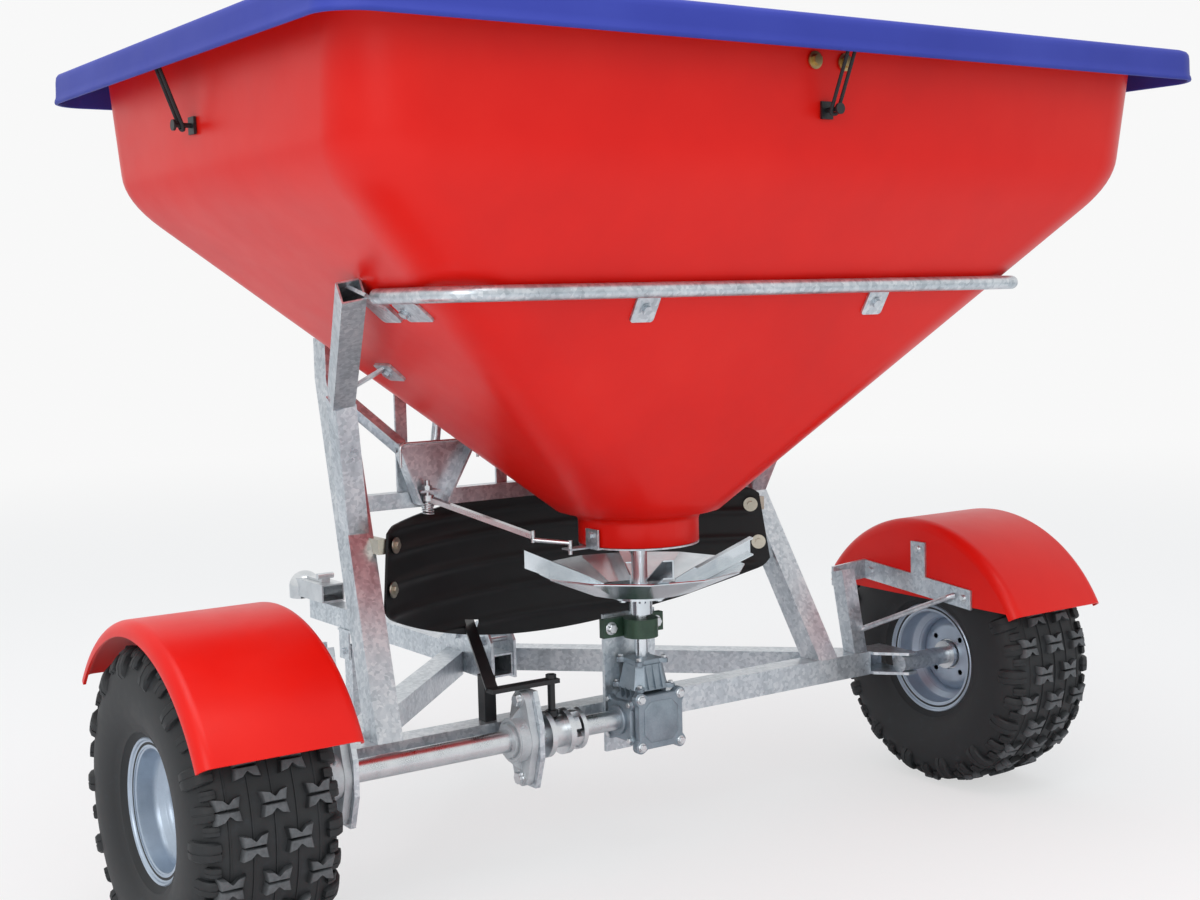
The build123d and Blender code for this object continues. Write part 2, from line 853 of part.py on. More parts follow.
# Drive
def bearing(y0, reach):
    """Two-bolt flange bearing with its base at y0, boss towards the wheel."""
    half = bearing_length / 2
    ear = 24.0
    x, z = 0.0, axle_height
    outline = (
        Pos(0, half - ear) * Circle(ear)
        + Pos(0, -half + ear) * Circle(ear)
        + Circle(bearing_half_width)
    )
    outline = make_hull(outline.edges())
    plane = Plane(origin=(x, y0, z), x_dir=(1, 0, 0), z_dir=(0, 1, 0))
    base = extrude(plane * outline, reach * bearing_base)
    boss = y_rod(y0, y0 + reach * bearing_boss_length, bearing_boss_radius)
    ring = y_rod(y0, y0 + reach * (bearing_boss_length + 8), bearing_ring_radius)
    body = base + boss + ring
    body = body - y_rod(y0 - 60, y0 + 60, axle_shaft_radius + running_gap)
    for side in (-1, 1):
        bolt_z = z + side * bearing_bolt_spacing / 2
        head = hexagon_bolt((x, y0 + reach * bearing_base, bolt_z), (0, reach, 0), 11.0, 9.0)
        body = body + head
    return body


def bearing_plate(y0, y1):
    half = bearing_length / 2
    outline = Polyline(
        (beam_rear_x - seat_gap, beam_top_z),
        (beam_rear_x - 10, axle_height + half + 2),
        (-26, axle_height + half + 2),
        (-bearing_half_width - 4, axle_height + 30),
        (-bearing_half_width - 4, axle_height - 30),
        (-26, axle_height - half - 2),
        (beam_rear_x - 10, axle_height - half - 2),
        (beam_rear_x - seat_gap, axle_height - beam_size / 2),
        close=True,
    )
    plane = Plane(origin=(0, y0, 0), x_dir=(1, 0, 0), z_dir=(0, -1, 0))
    plate = extrude(plane * make_face(outline), y0 - y1)
    return plate - y_rod(y0 - 20, y1 + 20, axle_shaft_radius + 8)


def gearbox_plate():
    half = gearbox_plate_width / 2
    plate = block(
        plate_rear_x,
        beam_rear_x - seat_gap,
        -half,
        half,
        gearbox_plate_bottom_z,
        gearbox_plate_top_z,
    )
    return plate


def gearbox():
    front = plate_rear_x - seat_gap
    z = axle_height
    case = block(gearbox_rear_x + 12, front, -gearbox_half + 8, gearbox_half - 8, z - gearbox_half, z + gearbox_half)
    plane = Plane(origin=(gearbox_rear_x, 0, z), x_dir=(0, 1, 0), z_dir=(-1, 0, 0))
    cover = extrude(plane * RectangleRounded(2 * gearbox_half, 2 * gearbox_half, 22), -14)
    boss = y_rod(0, gearbox_half, 36.0)
    neck = loft(
        [
            Pos(0, 0, z + gearbox_half - 1) * Circle(neck_radius + 12),
            Pos(0, 0, neck_top_z) * Circle(neck_radius),
        ]
    )
    body = case + cover + boss
    low = block(gearbox_rear_x, front, -80, 80, z, neck_top_z + 5)
    body = body + (neck & low)
    body = body - z_rod(neck_top_z - 20, neck_top_z + 1, output_shaft_radius + running_gap)
    body = body - y_rod(gearbox_half - 14, gearbox_half + 1, input_shaft_radius + running_gap)
    return body


def pillow_bearing():
    """Upper bearing of the upright shaft, bolted to the rear of the plate."""
    z0 = pillow_z - pillow_height / 2
    z1 = pillow_z + pillow_height / 2
    face = plate_rear_x - seat_gap
    half = pillow_width / 2
    base = block(face - 14, face, -half, half, z0, z1)
    boss = z_rod(z0, z1, pillow_boss_radius)
    low = block(-60, face, -80, 80, z0 - 1, z1 + 1)
    body = base + (boss & low)
    body = body - z_rod(z0 - 5, z1 + 5, output_shaft_radius + running_gap)
    for side in (-1, 1):
        y = side * pillow_bolt_spacing / 2
        body = body + hexagon_bolt((face - 14, y, pillow_z), (-1, 0, 0), 9.0, 8.0)
    return body


# Spinner
def spinner_disc():
    z = disc_z
    t = disc_thickness
    outline = Polyline(
        (sleeve_radius + running_gap, z),
        (disc_flat_radius, z),
        (disc_radius, z + disc_rise),
        (disc_radius, z + disc_rise + t),
        (disc_flat_radius - 1, z + t),
        (sleeve_radius + running_gap, z + t),
        close=True,
    )
    face = Plane.XZ * make_face(outline)
    return revolve(face, Axis.Z, 360)


def spinner_blades():
    slope = disc_rise / (disc_radius - disc_flat_radius)
    z0 = disc_z + disc_thickness + seat_gap + 0.6
    root, knee, tip = blade_root_radius, disc_flat_radius - 1, blade_tip_radius
    lift = slope * (tip - disc_flat_radius)
    side = Polyline(
        (root, z0),
        (knee, z0),
        (tip, z0 + lift),
        (tip, z0 + lift + blade_height),
        (knee + 10, z0 + blade_height),
        (root, z0 + 14),
        close=True,
    )
    wall = extrude(Plane.XZ * make_face(side), blade_thickness)
    floor = Polyline(
        (knee, z0),
        (tip, z0 + lift),
        (tip, z0 + lift + blade_thickness),
        (knee, z0 + blade_thickness),
        close=True,
    )
    foot = extrude(Plane.XZ * make_face(floor), blade_flange)
    crest = Polyline(
        (knee + 10, z0 + blade_height - blade_thickness),
        (tip, z0 + lift + blade_height - blade_thickness),
        (tip, z0 + lift + blade_height),
        (knee + 10, z0 + blade_height),
        close=True,
    )
    brow = extrude(Plane.XZ * make_face(crest), blade_flange)
    blade = wall + foot + brow
    blades = [Rot(0, 0, i * 360 / blade_count - 20) * blade for i in range(blade_count)]
    return Compound(children=blades)


def spinner_shaft():
    shaft = z_rod(neck_top_z - 18, disc_z + 1, output_shaft_radius)
    boss = z_rod(pillow_z + pillow_height / 2 + 8, disc_z - 12, hub_boss_radius)
    flange = z_rod(disc_z - 12, disc_z - seat_gap, hub_flange_radius)
    sleeve = z_rod(disc_z - 1, agitator_top_z, sleeve_radius)
    turns = [radians(30 + i * 60) for i in range(6)]
    bolts = [(40 * cos(t), 40 * sin(t), disc_z - 12) for t in turns]
    for bolt in bolts:
        flange = flange + hexagon_bolt(bolt, (0, 0, -1), 7.0, 6.0)
    finger = rod((-70, 0, agitator_top_z - 30), (70, 0, agitator_top_z - 30), 6)
    return shaft + boss + flange + sleeve + finger


def metering_gate():
    """Bottom plate of the spout with two openings over the disc."""
    z1 = spout_bottom_z - seat_gap
    z0 = z1 - 3
    plate = z_rod(z0, z1, spout_radius)
    plate = plate - z_rod(z0 - 1, z1 + 1, sleeve_radius + moving_gap)
    for side in (-1, 1):
        port = Pos(side * 62, 0, z0 - 1) * extrude(RectangleRounded(50, 90, 20), 6)
        plate = plate - port
    ear_y = spout_radius + seat_gap
    ear = block(-34, 4, ear_y, ear_y + 4, z0, spout_bottom_z + 34)
    foot = block(-34, 4, spout_radius - 20, ear_y + 4, z0, z1)
    bolt = hexagon_bolt((-14, ear_y + 4, spout_bottom_z + 22), (0, 1, 0), 7.0, 6.0)
    tongue = block(-6, 22, spout_radius - 20, link_end[1] + 10, z0, z1)
    bore = z_rod(z0 - 1, z1 + 1, 4 + running_gap, link_end[0], link_end[1])
    return plate + ear + foot + bolt + tongue - bore


arm_pivot = (234.0, 322.0, 700.0)
arm_end = (58.0, 200.0, 633.0)
link_end = (9.0, 150.0, 620.0)
cross_x = beam_centre_x + upright_lean_x * (cross_tube_z - beam_top_z)
bracket_x = cross_x - cross_size / 2 - seat_gap


def channel(start, end, width, depth, wall):
    """A bar of channel section, open below, between two points."""
    a, b = Vector(*start), Vector(*end)
    plane = Plane(origin=a, x_dir=Vector(0, 0, 1).cross(b - a), z_dir=b - a)
    solid = extrude(plane * Rectangle(width, depth), (b - a).length)
    slot = plane.location * (Pos(0, -wall, -1) * extrude(Rectangle(width - 2 * wall, depth), 900))
    other = plane.location * (Pos(0, wall, -1) * extrude(Rectangle(width - 2 * wall, depth), 900))
    lower = slot if slot.center().Z < other.center().Z else other
    return solid - lower


def metering_arm():
    """Arm and link that move the gate from the bracket's pivot."""
    arm = channel(arm_pivot, arm_end, 16, 9, 2.5)
    x, y, z = arm_pivot
    hub = z_rod(z - 5, z + 6, 13, x, y)
    stem = z_rod(z - 22, z + 34, 5, x, y)
    nut = Pos(x, y, z + 16 + seat_gap) * extrude(RegularPolygon(9, 6), 8)
    spring = z_rod(z - 20, z - 8, 10, x, y)
    pin = z_rod(arm_end[2] - 12, arm_end[2] + 10, 4, arm_end[0], arm_end[1])
    link = rod((arm_end[0], arm_end[1], arm_end[2] - 7), link_end, 4)
    drop = z_rod(spout_bottom_z - seat_gap - 12, link_end[2] + 5, 4, link_end[0], link_end[1])
    return arm + hub + stem + nut + spring + pin + link + drop


def metering_bracket():
    """Funnel-shaped bracket on the cross tube, with its brace and uprights."""
    x0 = bracket_x - 4
    face = Polyline(
        (0, 385, 808),
        (0, 220, 804),
        (0, 286, 690),
        (0, 342, 690),
        close=True,
    )
    plate = Pos(x0, 0, 0) * extrude(make_face(face), amount=4, dir=(1, 0, 0))
    cheeks = []
    for low, high in (((286, 690), (220, 804)), ((342, 690), (385, 808))):
        run = Vector(0, high[0] - low[0], high[1] - low[1])
        plane = Plane(origin=(x0 - 14, *low), x_dir=(1, 0, 0), z_dir=run)
        cheeks.append(extrude(plane * Rectangle(30, 4), run.length))
    lid = block(x0 - 29, x0 + 1, 222, 384, 800, 805)
    shelf = block(arm_pivot[0] - 14, x0 + 1, 300, 344, 712, 716)
    body = plate + cheeks[0] + cheeks[1] + lid + shelf
    body = body - z_rod(600, 800, 5 + running_gap, arm_pivot[0], arm_pivot[1])
    knob = rod((x0 - 10, 300, 800), (x0 - 10, 290, 866), 9)
    cap = rod((x0 - 10, 291, 850), (x0 - 10, 289, 872), 15)
    brace = square_prism((x0 - 12, 374, 800), upright_point(905), 22, (0, 1, 0))
    body = body + knob + cap + brace
    return body - upright_envelope(1) - hopper_body(-seat_gap)


def cross_props():
    """Flat bars from the cross tube up to the front of the hopper."""
    x = upright_point(cross_tube_z)[0]
    low = cross_tube_z + cross_size / 2 + seat_gap
    props = []
    for y in (138.0, 356.0):
        for side in (-1, 1):
            bar = block(x - 2.5, x + 2.5, side * y - 12, side * y + 12, low, 1100)
            rest = bar - hopper_body(-seat_gap)
            props.append(min(rest.solids(), key=lambda part: part.center().Z))
    return props


fork_y = collar_y - collar_length / 2
lever_foot = (4.0, 330.0, 374.0)
lever_head = (420.0, 152.0, 463.0)


def lever_line(width, thickness):
    """A flat bar along the lever's line."""
    a, b = Vector(*lever_foot), Vector(*lever_head)
    plane = Plane(origin=a, x_dir=Vector(0, 0, 1).cross(b - a), z_dir=b - a)
    return extrude(plane * Rectangle(width, thickness), (b - a).length)


def clutch_lever():
    """Flat lever with the fork pin that rides in the collar's groove."""
    bar = lever_line(22, 6)
    arm = block(-12, 12, fork_y - 12, lever_foot[1] + 8, 368, 376)
    pin = z_rod(axle_height + 30, 372, 7, 0, fork_y)
    roller = z_rod(axle_height + 31, axle_height + 42, 12, 0, fork_y)
    nut = Pos(0, fork_y, 376) * extrude(RegularPolygon(10, 6), 8)
    return bar + arm + pin + roller + nut


def lever_post():
    """Post on the beam that carries the lever."""
    share = (beam_centre_x - lever_foot[0]) / (lever_head[0] - lever_foot[0])
    y = lever_foot[1] + share * (lever_head[1] - lever_foot[1])
    z = lever_foot[2] + share * (lever_head[2] - lever_foot[2])
    post = block(beam_centre_x - 12, beam_centre_x + 12, y - 12, y + 12, beam_top_z + seat_gap, z + 20)
    slot = lever_line(60, 6 + 2 * seat_gap)
    above = block(0, 200, y - 30, y + 30, z + 3, z + 40)
    rest = post - slot - above
    return min(rest.solids(), key=lambda part: part.center().Z)


def deflector_radius():
    half, rise = deflector_end_y, deflector_bulge
    return (half * half + rise * rise) / (2 * rise)


def deflector_x(y):
    """Where the front face of the deflector stands at a distance y."""
    radius = deflector_radius()
    return deflector_end_x + deflector_bulge - radius + sqrt(radius**2 - y**2)


def deflector():
    """Curved ribbed guard ahead of the disc, between the two side frames."""
    radius = deflector_radius()
    centre_x = deflector_end_x + deflector_bulge - radius
    back = radius - deflector_thickness
    low, high = deflector_low[1] - 20, deflector_high[1] + 20
    corners = [(radius, low), (radius, high), (back, high)]
    for z in reversed(deflector_ribs):
        half = rib_height / 2
        corners.append((back, z + half))
        corners.append((back - rib_depth, z + half - rib_depth))
        corners.append((back - rib_depth, z - half + rib_depth))
        corners.append((back, z - half))
    corners.append((back, low))
    section = make_face(Polyline(*[(r, 0, z) for r, z in corners], close=True))
    spread = degrees(atan2(deflector_edge_y + 40, radius - deflector_bulge)) + 6
    band = revolve(section, Axis.Z, 2 * spread)
    band = Pos(centre_x, 0, 0) * (Rot(0, 0, -spread) * band)
    y = deflector_edge_y
    lower = ThreePointArc((0, -y, deflector_low[0]), (0, 0, deflector_low[1]), (0, y, deflector_low[0]))
    upper = ThreePointArc((0, y, deflector_high[0]), (0, 0, deflector_high[1]), (0, -y, deflector_high[0]))
    sides = Line(lower @ 1, upper @ 0) + Line(upper @ 1, lower @ 0)
    window = extrude(make_face(lower + upper + sides), amount=600, dir=(1, 0, 0))
    return between_uprights((band & window) - lever_line(36, 26))


def deflector_tab(z):
    """Lug between an upright and the end of the deflector."""
    y = upright_point(z)[1] - beam_size / 2 * sqrt(1 + upright_lean_y**2) - 3
    x = upright_point(z)[0]
    lug = block(deflector_x(y - 6) + seat_gap, x, y - 6, y + 12, z - 14, z + 14)
    return lug - upright_envelope(1)


def deflector_bolts():
    """Large washers and bolts that hold the deflector's ends."""
    bolts = []
    for y, z in deflector_bolts_at:
        radius = deflector_radius()
        seat = radius - deflector_thickness - rib_depth - seat_gap
        along = sqrt(1 - (y / radius) ** 2)
        outward = Vector(-along, -y / radius, 0)
        start = Vector(deflector_end_x + deflector_bulge - radius, 0, z) - outward * seat
        washer = extrude(Plane(origin=start, z_dir=outward) * Circle(15), 2.5)
        head = hexagon_bolt((start.X, start.Y, start.Z), outward, 7.0, 8.0)
        bolt = washer + head
        bolts += [bolt, mirrored(bolt)]
    return bolts


# Mudguards
def guard_drum(inset):
    """Rounded drum that a mudguard's outer or inner surface is part of."""
    radius = guard_radius - inset
    z = axle_height - guard_drop
    drum = y_rod(guard_inner_y + inset, guard_outer_y + inset, radius, 0, z)
    edges = drum.edges().filter_by(GeomType.CIRCLE)
    return fillet(edges, guard_round - inset)


def guard_edge(angle, radius):
    """A point round the guard's centre, counted upwards from behind it."""
    turn = radians(angle)
    return (-radius * cos(turn), 0, axle_height - guard_drop + radius * sin(turn))


def mudguard():
    step = (guard_front_angle - guard_rear_angle) / 4
    corners = [guard_edge(guard_rear_angle + i * step, 2 * guard_radius) for i in range(5)]
    middle = (0, 0, axle_height - guard_drop)
    sector = make_face(Polyline(middle, *corners, close=True))
    keep = extrude(sector, amount=1200, dir=(0, 1, 0))
    rear_x = guard_edge(guard_rear_angle, guard_radius)[0]
    front_x = guard_edge(guard_front_angle, guard_radius)[0]
    skirt = block(rear_x, front_x, guard_inner_y - 1, guard_inner_y + guard_wall, guard_skirt_z, 900)
    z = axle_height - guard_drop
    crown = guard_drum(0) - guard_drum(guard_wall)
    crown = crown - y_rod(guard_outer_y - 1, guard_outer_y + 5, guard_radius + 5, 0, z)
    rim_ring = y_rod(0, 1200, guard_radius + 5, 0, z) - y_rod(0, 1200, guard_radius - guard_round, 0, z)
    return (crown & keep & rim_ring) + (crown & skirt)


def guard_bracket():
    """Strip and post that hold a mudguard, with a rod that braces it."""
    y1 = guard_inner_y - seat_gap
    y0 = y1 - strip_thickness
    front_x, front_z = strip_front
    rear_x, rear_z = strip_rear
    fall = (front_z - rear_z) / (front_x - rear_x)

    def top_z(x):
        return front_z - fall * (front_x - x)

    outline = Polyline(
        (front_x, 0, front_z),
        (front_x, 0, front_z - strip_height),
        (rear_x, 0, rear_z - strip_height),
        (rear_x, 0, rear_z),
        (tab_front_x - tab_width, 0, top_z(tab_front_x - tab_width)),
        (tab_front_x - tab_width, 0, tab_top_z),
        (tab_front_x, 0, tab_top_z),
        (tab_front_x, 0, top_z(tab_front_x)),
        close=True,
    )
    strip = Pos(0, y0, 0) * extrude(make_face(outline), amount=strip_thickness, dir=(0, 1, 0))
    inner_y = post_y - post_size / 2
    turn_x = post_head_x + post_size / 2 + 3
    turn = make_face(
        Polyline((front_x, y1), (front_x, y0), (turn_x, inner_y), (turn_x - 6, inner_y), (front_x - 7, y1), close=True)
    )
    turn = Pos(0, 0, front_z - strip_height) * extrude(turn, strip_height)
    foot = (post_foot_x, post_y, beam_top_z - 20)
    lean = (post_head_x - post_foot_x) / (front_z - 30 - beam_top_z)
    head = (post_head_x + lean * 20, post_y, front_z - 8)
    post = square_run([foot, head], post_size, (0, 1, 0))
    post = post - block(-200, 300, 0, 900, 0, beam_top_z + seat_gap)
    body = strip + turn + post
    for x in (front_x - 26, rear_x + 22):
        body = body + hexagon_bolt((x, y0, top_z(x) - strip_height / 2), (0, -1, 0), 7.0, 5.0)
    body = body + hexagon_bolt((tab_front_x - tab_width / 2, y0, tab_top_z - 20), (0, -1, 0), 7.0, 5.0)
    grip = (rear_x + 45, y0 + 1, top_z(rear_x + 45) - strip_height / 2)
    route = FilletPolyline(
        grip,
        (grip[0] + 8, grip[1] - 12, grip[2] - 3),
        (post_foot_x, post_y + post_size / 2 + 6, beam_top_z + 48),
        (post_foot_x + 4, post_y, beam_top_z + 42),
        radius=6,
    )
    start = Plane(origin=route @ 0, z_dir=route % 0)
    brace = sweep(start * Circle(brace_radius), path=route)
    return body + brace


save("axle_beam", axle_beam())
save("stub_axle", stub_axle())
left_frame = side_frame()
save("side_frame_left", left_frame)
save("side_frame_right", mirrored(left_frame))
save("cross_tube", cross_tube())
save("drawbar_tube", drawbar_tube())
leg = drawbar_leg()
save("drawbar_legs", Compound(children=[leg, mirrored(leg)]))
gusset = drawbar_gusset()
save("drawbar_gussets", Compound(children=[gusset, mirrored(gusset)]))
save("hitch_coupler", coupler())
save("coupler_handle", coupler_handle())
save("stand_bracket", stand_bracket())
save("stand_leg", stand_leg())
save("hopper", hopper())
save("hopper_lid", hopper_lid())
save("hopper_hoop", hopper_hoop())
save("hopper_bolts", Compound(children=hopper_bolts()))
save("lid_hooks", Compound(children=round_the_hopper(lambda edge: wall_hook())))
save("lid_cords", Compound(children=round_the_hopper(lid_cord)))
lugged_tyre = tyre()
for name, side in (("left", 1), ("right", -1)):
    save(f"tyre_{name}", Pos(0, side * wheel_offset, 0) * lugged_tyre)
    save(f"rim_{name}", rim(side))
save("hub_right", right_hub())
save("axle_shaft", axle_shaft())
save("clutch_collar", clutch_collar())
save("input_shaft", input_shaft())
inner_plate = bearing_plate(bearing_plate_y, bearing_plate_y + bearing_plate_thickness)
outer_plate = bearing_plate(beam_left_y - 12, beam_left_y - 12 + bearing_plate_thickness)
save("bearing_plates", Compound(children=[inner_plate, outer_plate]))
save("axle_bearing_inner", bearing(bearing_plate_y + bearing_plate_thickness + seat_gap, 1))
save("axle_bearing_outer", bearing(beam_left_y - 2 + seat_gap, 1))
save("gearbox_plate", gearbox_plate())
save("gearbox", gearbox())
save("pillow_bearing", pillow_bearing())
save("spinner_disc", spinner_disc())
save("spinner_blades", spinner_blades())
save("spinner_shaft", spinner_shaft())
save("metering_gate", metering_gate())
save("metering_arm", metering_arm())
save("metering_bracket", Compound(children=[metering_bracket(), *cross_props()]))
save("clutch_lever", Compound(children=[clutch_lever(), lever_post()]))
save("deflector", deflector())
tab = deflector_tab(deflector_bolts_at[0][1])
save("deflector_bolts", Compound(children=[tab, mirrored(tab), *deflector_bolts()]))
guard = mudguard()
save("mudguard_left", guard)
save("mudguard_right", mirrored(guard))
bracket = guard_bracket()
save("guard_bracket_left", bracket)
save("guard_bracket_right", mirrored(bracket))
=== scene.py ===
# %% [markdown]
# # A towed disc spreader
#
# The machine is a moulded hopper on a galvanised tube frame. Two tyres carry
# it, and the left one turns a spinning disc through a clutch and a gearbox.
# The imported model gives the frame, in metres, with X along the drawbar, Y to
# the machine's left and Z up. This script dresses it: finer surfaces stand in
# for the moulded and rubber pieces, and every surface gets its real finish.

# %% Load the frame
import json
from math import pi, radians

import bpy
import numpy as np
from mathutils import Matrix, Vector


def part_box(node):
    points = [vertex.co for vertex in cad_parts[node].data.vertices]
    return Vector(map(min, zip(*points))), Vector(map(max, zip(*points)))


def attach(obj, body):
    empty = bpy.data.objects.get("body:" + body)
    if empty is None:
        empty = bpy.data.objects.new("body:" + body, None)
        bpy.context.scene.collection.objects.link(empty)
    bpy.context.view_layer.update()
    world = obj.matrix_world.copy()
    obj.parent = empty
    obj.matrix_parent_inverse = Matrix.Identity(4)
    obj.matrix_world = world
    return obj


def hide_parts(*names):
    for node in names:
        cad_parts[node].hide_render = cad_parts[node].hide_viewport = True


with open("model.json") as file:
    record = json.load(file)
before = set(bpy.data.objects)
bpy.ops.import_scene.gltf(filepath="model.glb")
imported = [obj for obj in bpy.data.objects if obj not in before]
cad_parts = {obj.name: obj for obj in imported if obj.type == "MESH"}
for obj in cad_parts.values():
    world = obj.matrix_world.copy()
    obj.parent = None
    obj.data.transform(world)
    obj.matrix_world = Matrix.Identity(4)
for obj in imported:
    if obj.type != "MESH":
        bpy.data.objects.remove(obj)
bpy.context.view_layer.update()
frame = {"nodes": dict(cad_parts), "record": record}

slots = {row["node"]: row["material_slot"] for row in frame["record"]["subparts"]}
body_of = {
    node: body
    for body, nodes in frame["record"]["behaviour"]["bodies"].items()
    for node in nodes
}

# %% [markdown]
# ## Where things are
#
# The drawing of the machine measures X from the wheel axis. The tyre's own box
# tells where that axis lies here, so all other places can be written in
# millimetres from it.

# %% Places in millimetres
tyre_low, tyre_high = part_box("tyre_left")
AXLE_X = (tyre_low.x + tyre_high.x) / 2
AXLE_Z = 275.0
WHEEL_Y = 868.0
AHEAD, BEHIND, LEFT, UP = (1, 0, 0), (-1, 0, 0), (0, 1, 0), (0, 0, 1)


def to_frame(points):
    """Points in millimetres from the axle line, as metres in the frame."""
    placed = np.asarray(points, float) / 1000.0
    placed[..., 0] += AXLE_X
    return placed


print("axle at", round(AXLE_X, 4))

# %% [markdown]
# ## Colours and nodes
#
# Colours are read from paint charts as sRGB hex values. Blender's shaders work
# with linear light, so one function converts them. A second one adds a node,
# sets it up and links it, which keeps each material short.


# %% Helpers for materials
def linear(code):
    """sRGB hex to linear RGBA: v / 12.92 below 0.04045, a 2.4 power above it."""
    values = [int(code[i : i + 2], 16) / 255 for i in (1, 3, 5)]
    rgb = [v / 12.92 if v <= 0.04045 else ((v + 0.055) / 1.055) ** 2.4 for v in values]
    return (*rgb, 1.0)


def add(tree, kind, inputs=None, **settings):
    """Adds a node. Inputs that are sockets are linked, others are set."""
    node = tree.nodes.new("ShaderNode" + kind)
    for name, value in settings.items():
        setattr(node, name, value)
    for name, value in (inputs or {}).items():
        socket = node.inputs[name]
        if isinstance(value, bpy.types.NodeSocket):
            tree.links.new(value, socket)
        else:
            socket.default_value = value
    return node


def ramp(tree, factor, stops):
    """A colour ramp from (place, hex colour) stops."""
    node = add(tree, "ValToRGB", {"Fac": factor})
    elements = node.color_ramp.elements
    while len(elements) < len(stops):
        elements.new(0.5)
    for element, (place, code) in zip(elements, stops):
        element.position = place
        element.color = linear(code)
    return node.outputs["Color"]


def spread(tree, factor, low, high):
    """The factor 0 to 1 mapped to a value between low and high."""
    node = add(tree, "MapRange", {"Value": factor, "To Min": low, "To Max": high})
    return node.outputs["Result"]


# %% Helpers that start a material and its patterns
def new_material(name):
    """A material with its tree, its shader and Object coordinates in metres."""
    material = bpy.data.materials.new(name)
    material.use_nodes = True
    tree = material.node_tree
    tree.nodes.clear()
    shader = add(tree, "BsdfPrincipled")
    add(tree, "OutputMaterial", {"Surface": shader.outputs["BSDF"]})
    place = add(tree, "TexCoord").outputs["Object"]
    return material, tree, shader, place


def noise(tree, place, period_mm, detail=3.0, roughness=0.55):
    """Noise whose soft patches are about period_mm across."""
    return add(
        tree,
        "TexNoise",
        {"Vector": place, "Scale": 1000.0 / period_mm, "Detail": detail, "Roughness": roughness},
    ).outputs["Fac"]


def set_input(tree, shader, name, value):
    """Links or sets one input of the shader."""
    if isinstance(value, bpy.types.NodeSocket):
        tree.links.new(value, shader.inputs[name])
    else:
        shader.inputs[name].default_value = value


def blend(tree, share, first, second):
    """A mix of two values: the first at share 0, the second at 1."""
    return add(tree, "Mix", {0: share, 2: first, 3: second}, data_type="FLOAT").outputs[0]


def bump(tree, height, depth_mm, strength=1.0, below=None):
    """Bump of a real depth, on top of another bump where one is given."""
    inputs = {"Height": height, "Distance": depth_mm / 1000.0, "Strength": strength}
    if below is not None:
        inputs["Normal"] = below
    return add(tree, "Bump", inputs).outputs["Normal"]


# %% [markdown]
# ## Moulded polyethylene
#
# The hopper, its lid and the mudguards are rotationally moulded polyethylene.
# Powder melts against a mould and cools slowly, so the skin is satin, with a
# faint orange peel a few millimetres across and a long soft waviness. The
# colour is in the material. A thin chalky bloom makes it vary a little.


# %% Polyethylene
def polyethylene(name, deep, main, pale, roughness, specular):
    """Cloudy colour 260 mm across, hazy gloss, and orange peel on soft waves."""
    material, tree, shader, place = new_material(name)
    cloud = noise(tree, place, 260.0, 4.0)
    set_input(tree, shader, "Specular IOR Level", specular)
    set_input(tree, shader, "IOR", 1.51)
    colour = ramp(tree, cloud, [(0.25, deep), (0.5, main), (0.8, pale)])
    set_input(tree, shader, "Base Color", colour)
    haze = spread(tree, noise(tree, place, 60.0, 5.0), roughness - 0.05, roughness + 0.08)
    set_input(tree, shader, "Roughness", haze)
    wave = bump(tree, noise(tree, place, 180.0, 1.0), 1.6, 0.5)
    peel = bump(tree, noise(tree, place, 5.0, 2.0), 0.12, 0.5, wave)
    set_input(tree, shader, "Normal", peel)
    return material


# name, deep, main and pale colour, roughness, specular level
plastics = {
    "moulded_red": ("rotomoulded_polyethylene_red", "#D6120A", "#DE160C", "#E42014", 0.34, 0.26),
    "moulded_blue": ("rotomoulded_polyethylene_blue", "#2E3994", "#333E9C", "#3A46A4", 0.5, 0.22),
    "moulded_black": ("moulded_polyethylene_black", "#08090A", "#0C0D0F", "#141518", 0.42, 0.3),
}
materials = {slot: polyethylene(*row) for slot, row in plastics.items()}
print("plastics", *materials)

# %% [markdown]
# ## Hot-dip galvanised steel
#
# The frame was dipped in molten zinc. The zinc freezes in crystals, the
# spangle, under 10 mm across on thin tube, each a slightly different grey.
# Runs and a dull grey bloom lie over them. A Voronoi pattern gives the crystals.


# %% Galvanised steel
def galvanised(name):
    """Crystals of zinc 7 mm across, whose edges a warp of 10 mm roughens,
    under a cloudy bloom and runs drawn out along Z."""
    material, tree, shader, place = new_material(name)
    warp = add(tree, "TexNoise", {"Vector": place, "Scale": 60.0, "Detail": 2.0}).outputs["Color"]
    small = add(tree, "VectorMath", {0: warp, "Scale": 0.010}, operation="SCALE").outputs[0]
    bent = add(tree, "VectorMath", {0: place, 1: small}, operation="ADD").outputs[0]
    crystal = add(tree, "TexVoronoi", {"Vector": bent, "Scale": 150.0})
    shade = add(tree, "SeparateColor", {"Color": crystal.outputs["Color"]}).outputs["Red"]
    stretch = {0: place, 1: (1.0, 1.0, 0.12)}
    drawn = add(tree, "VectorMath", stretch, operation="MULTIPLY").outputs[0]
    runs = noise(tree, drawn, 26.0, 4.0)
    bloom = noise(tree, place, 140.0, 5.0, 0.65)
    mixed = blend(tree, 0.78, shade, blend(tree, 0.45, bloom, runs))
    stops = [(0.25, "#9AA3AA"), (0.48, "#C0C8CE"), (0.72, "#E2E7EA")]
    set_input(tree, shader, "Base Color", ramp(tree, mixed, stops))
    set_input(tree, shader, "Metallic", 0.8)
    set_input(tree, shader, "Roughness", spread(tree, mixed, 0.20, 0.46))
    grain = bump(tree, noise(tree, place, 14.0, 4.0), 0.35, 0.4)
    set_input(tree, shader, "Normal", grain)
    return material


materials["galvanised"] = galvanised("hot_dip_galvanised_steel")
print("frame finish", materials["galvanised"].name)

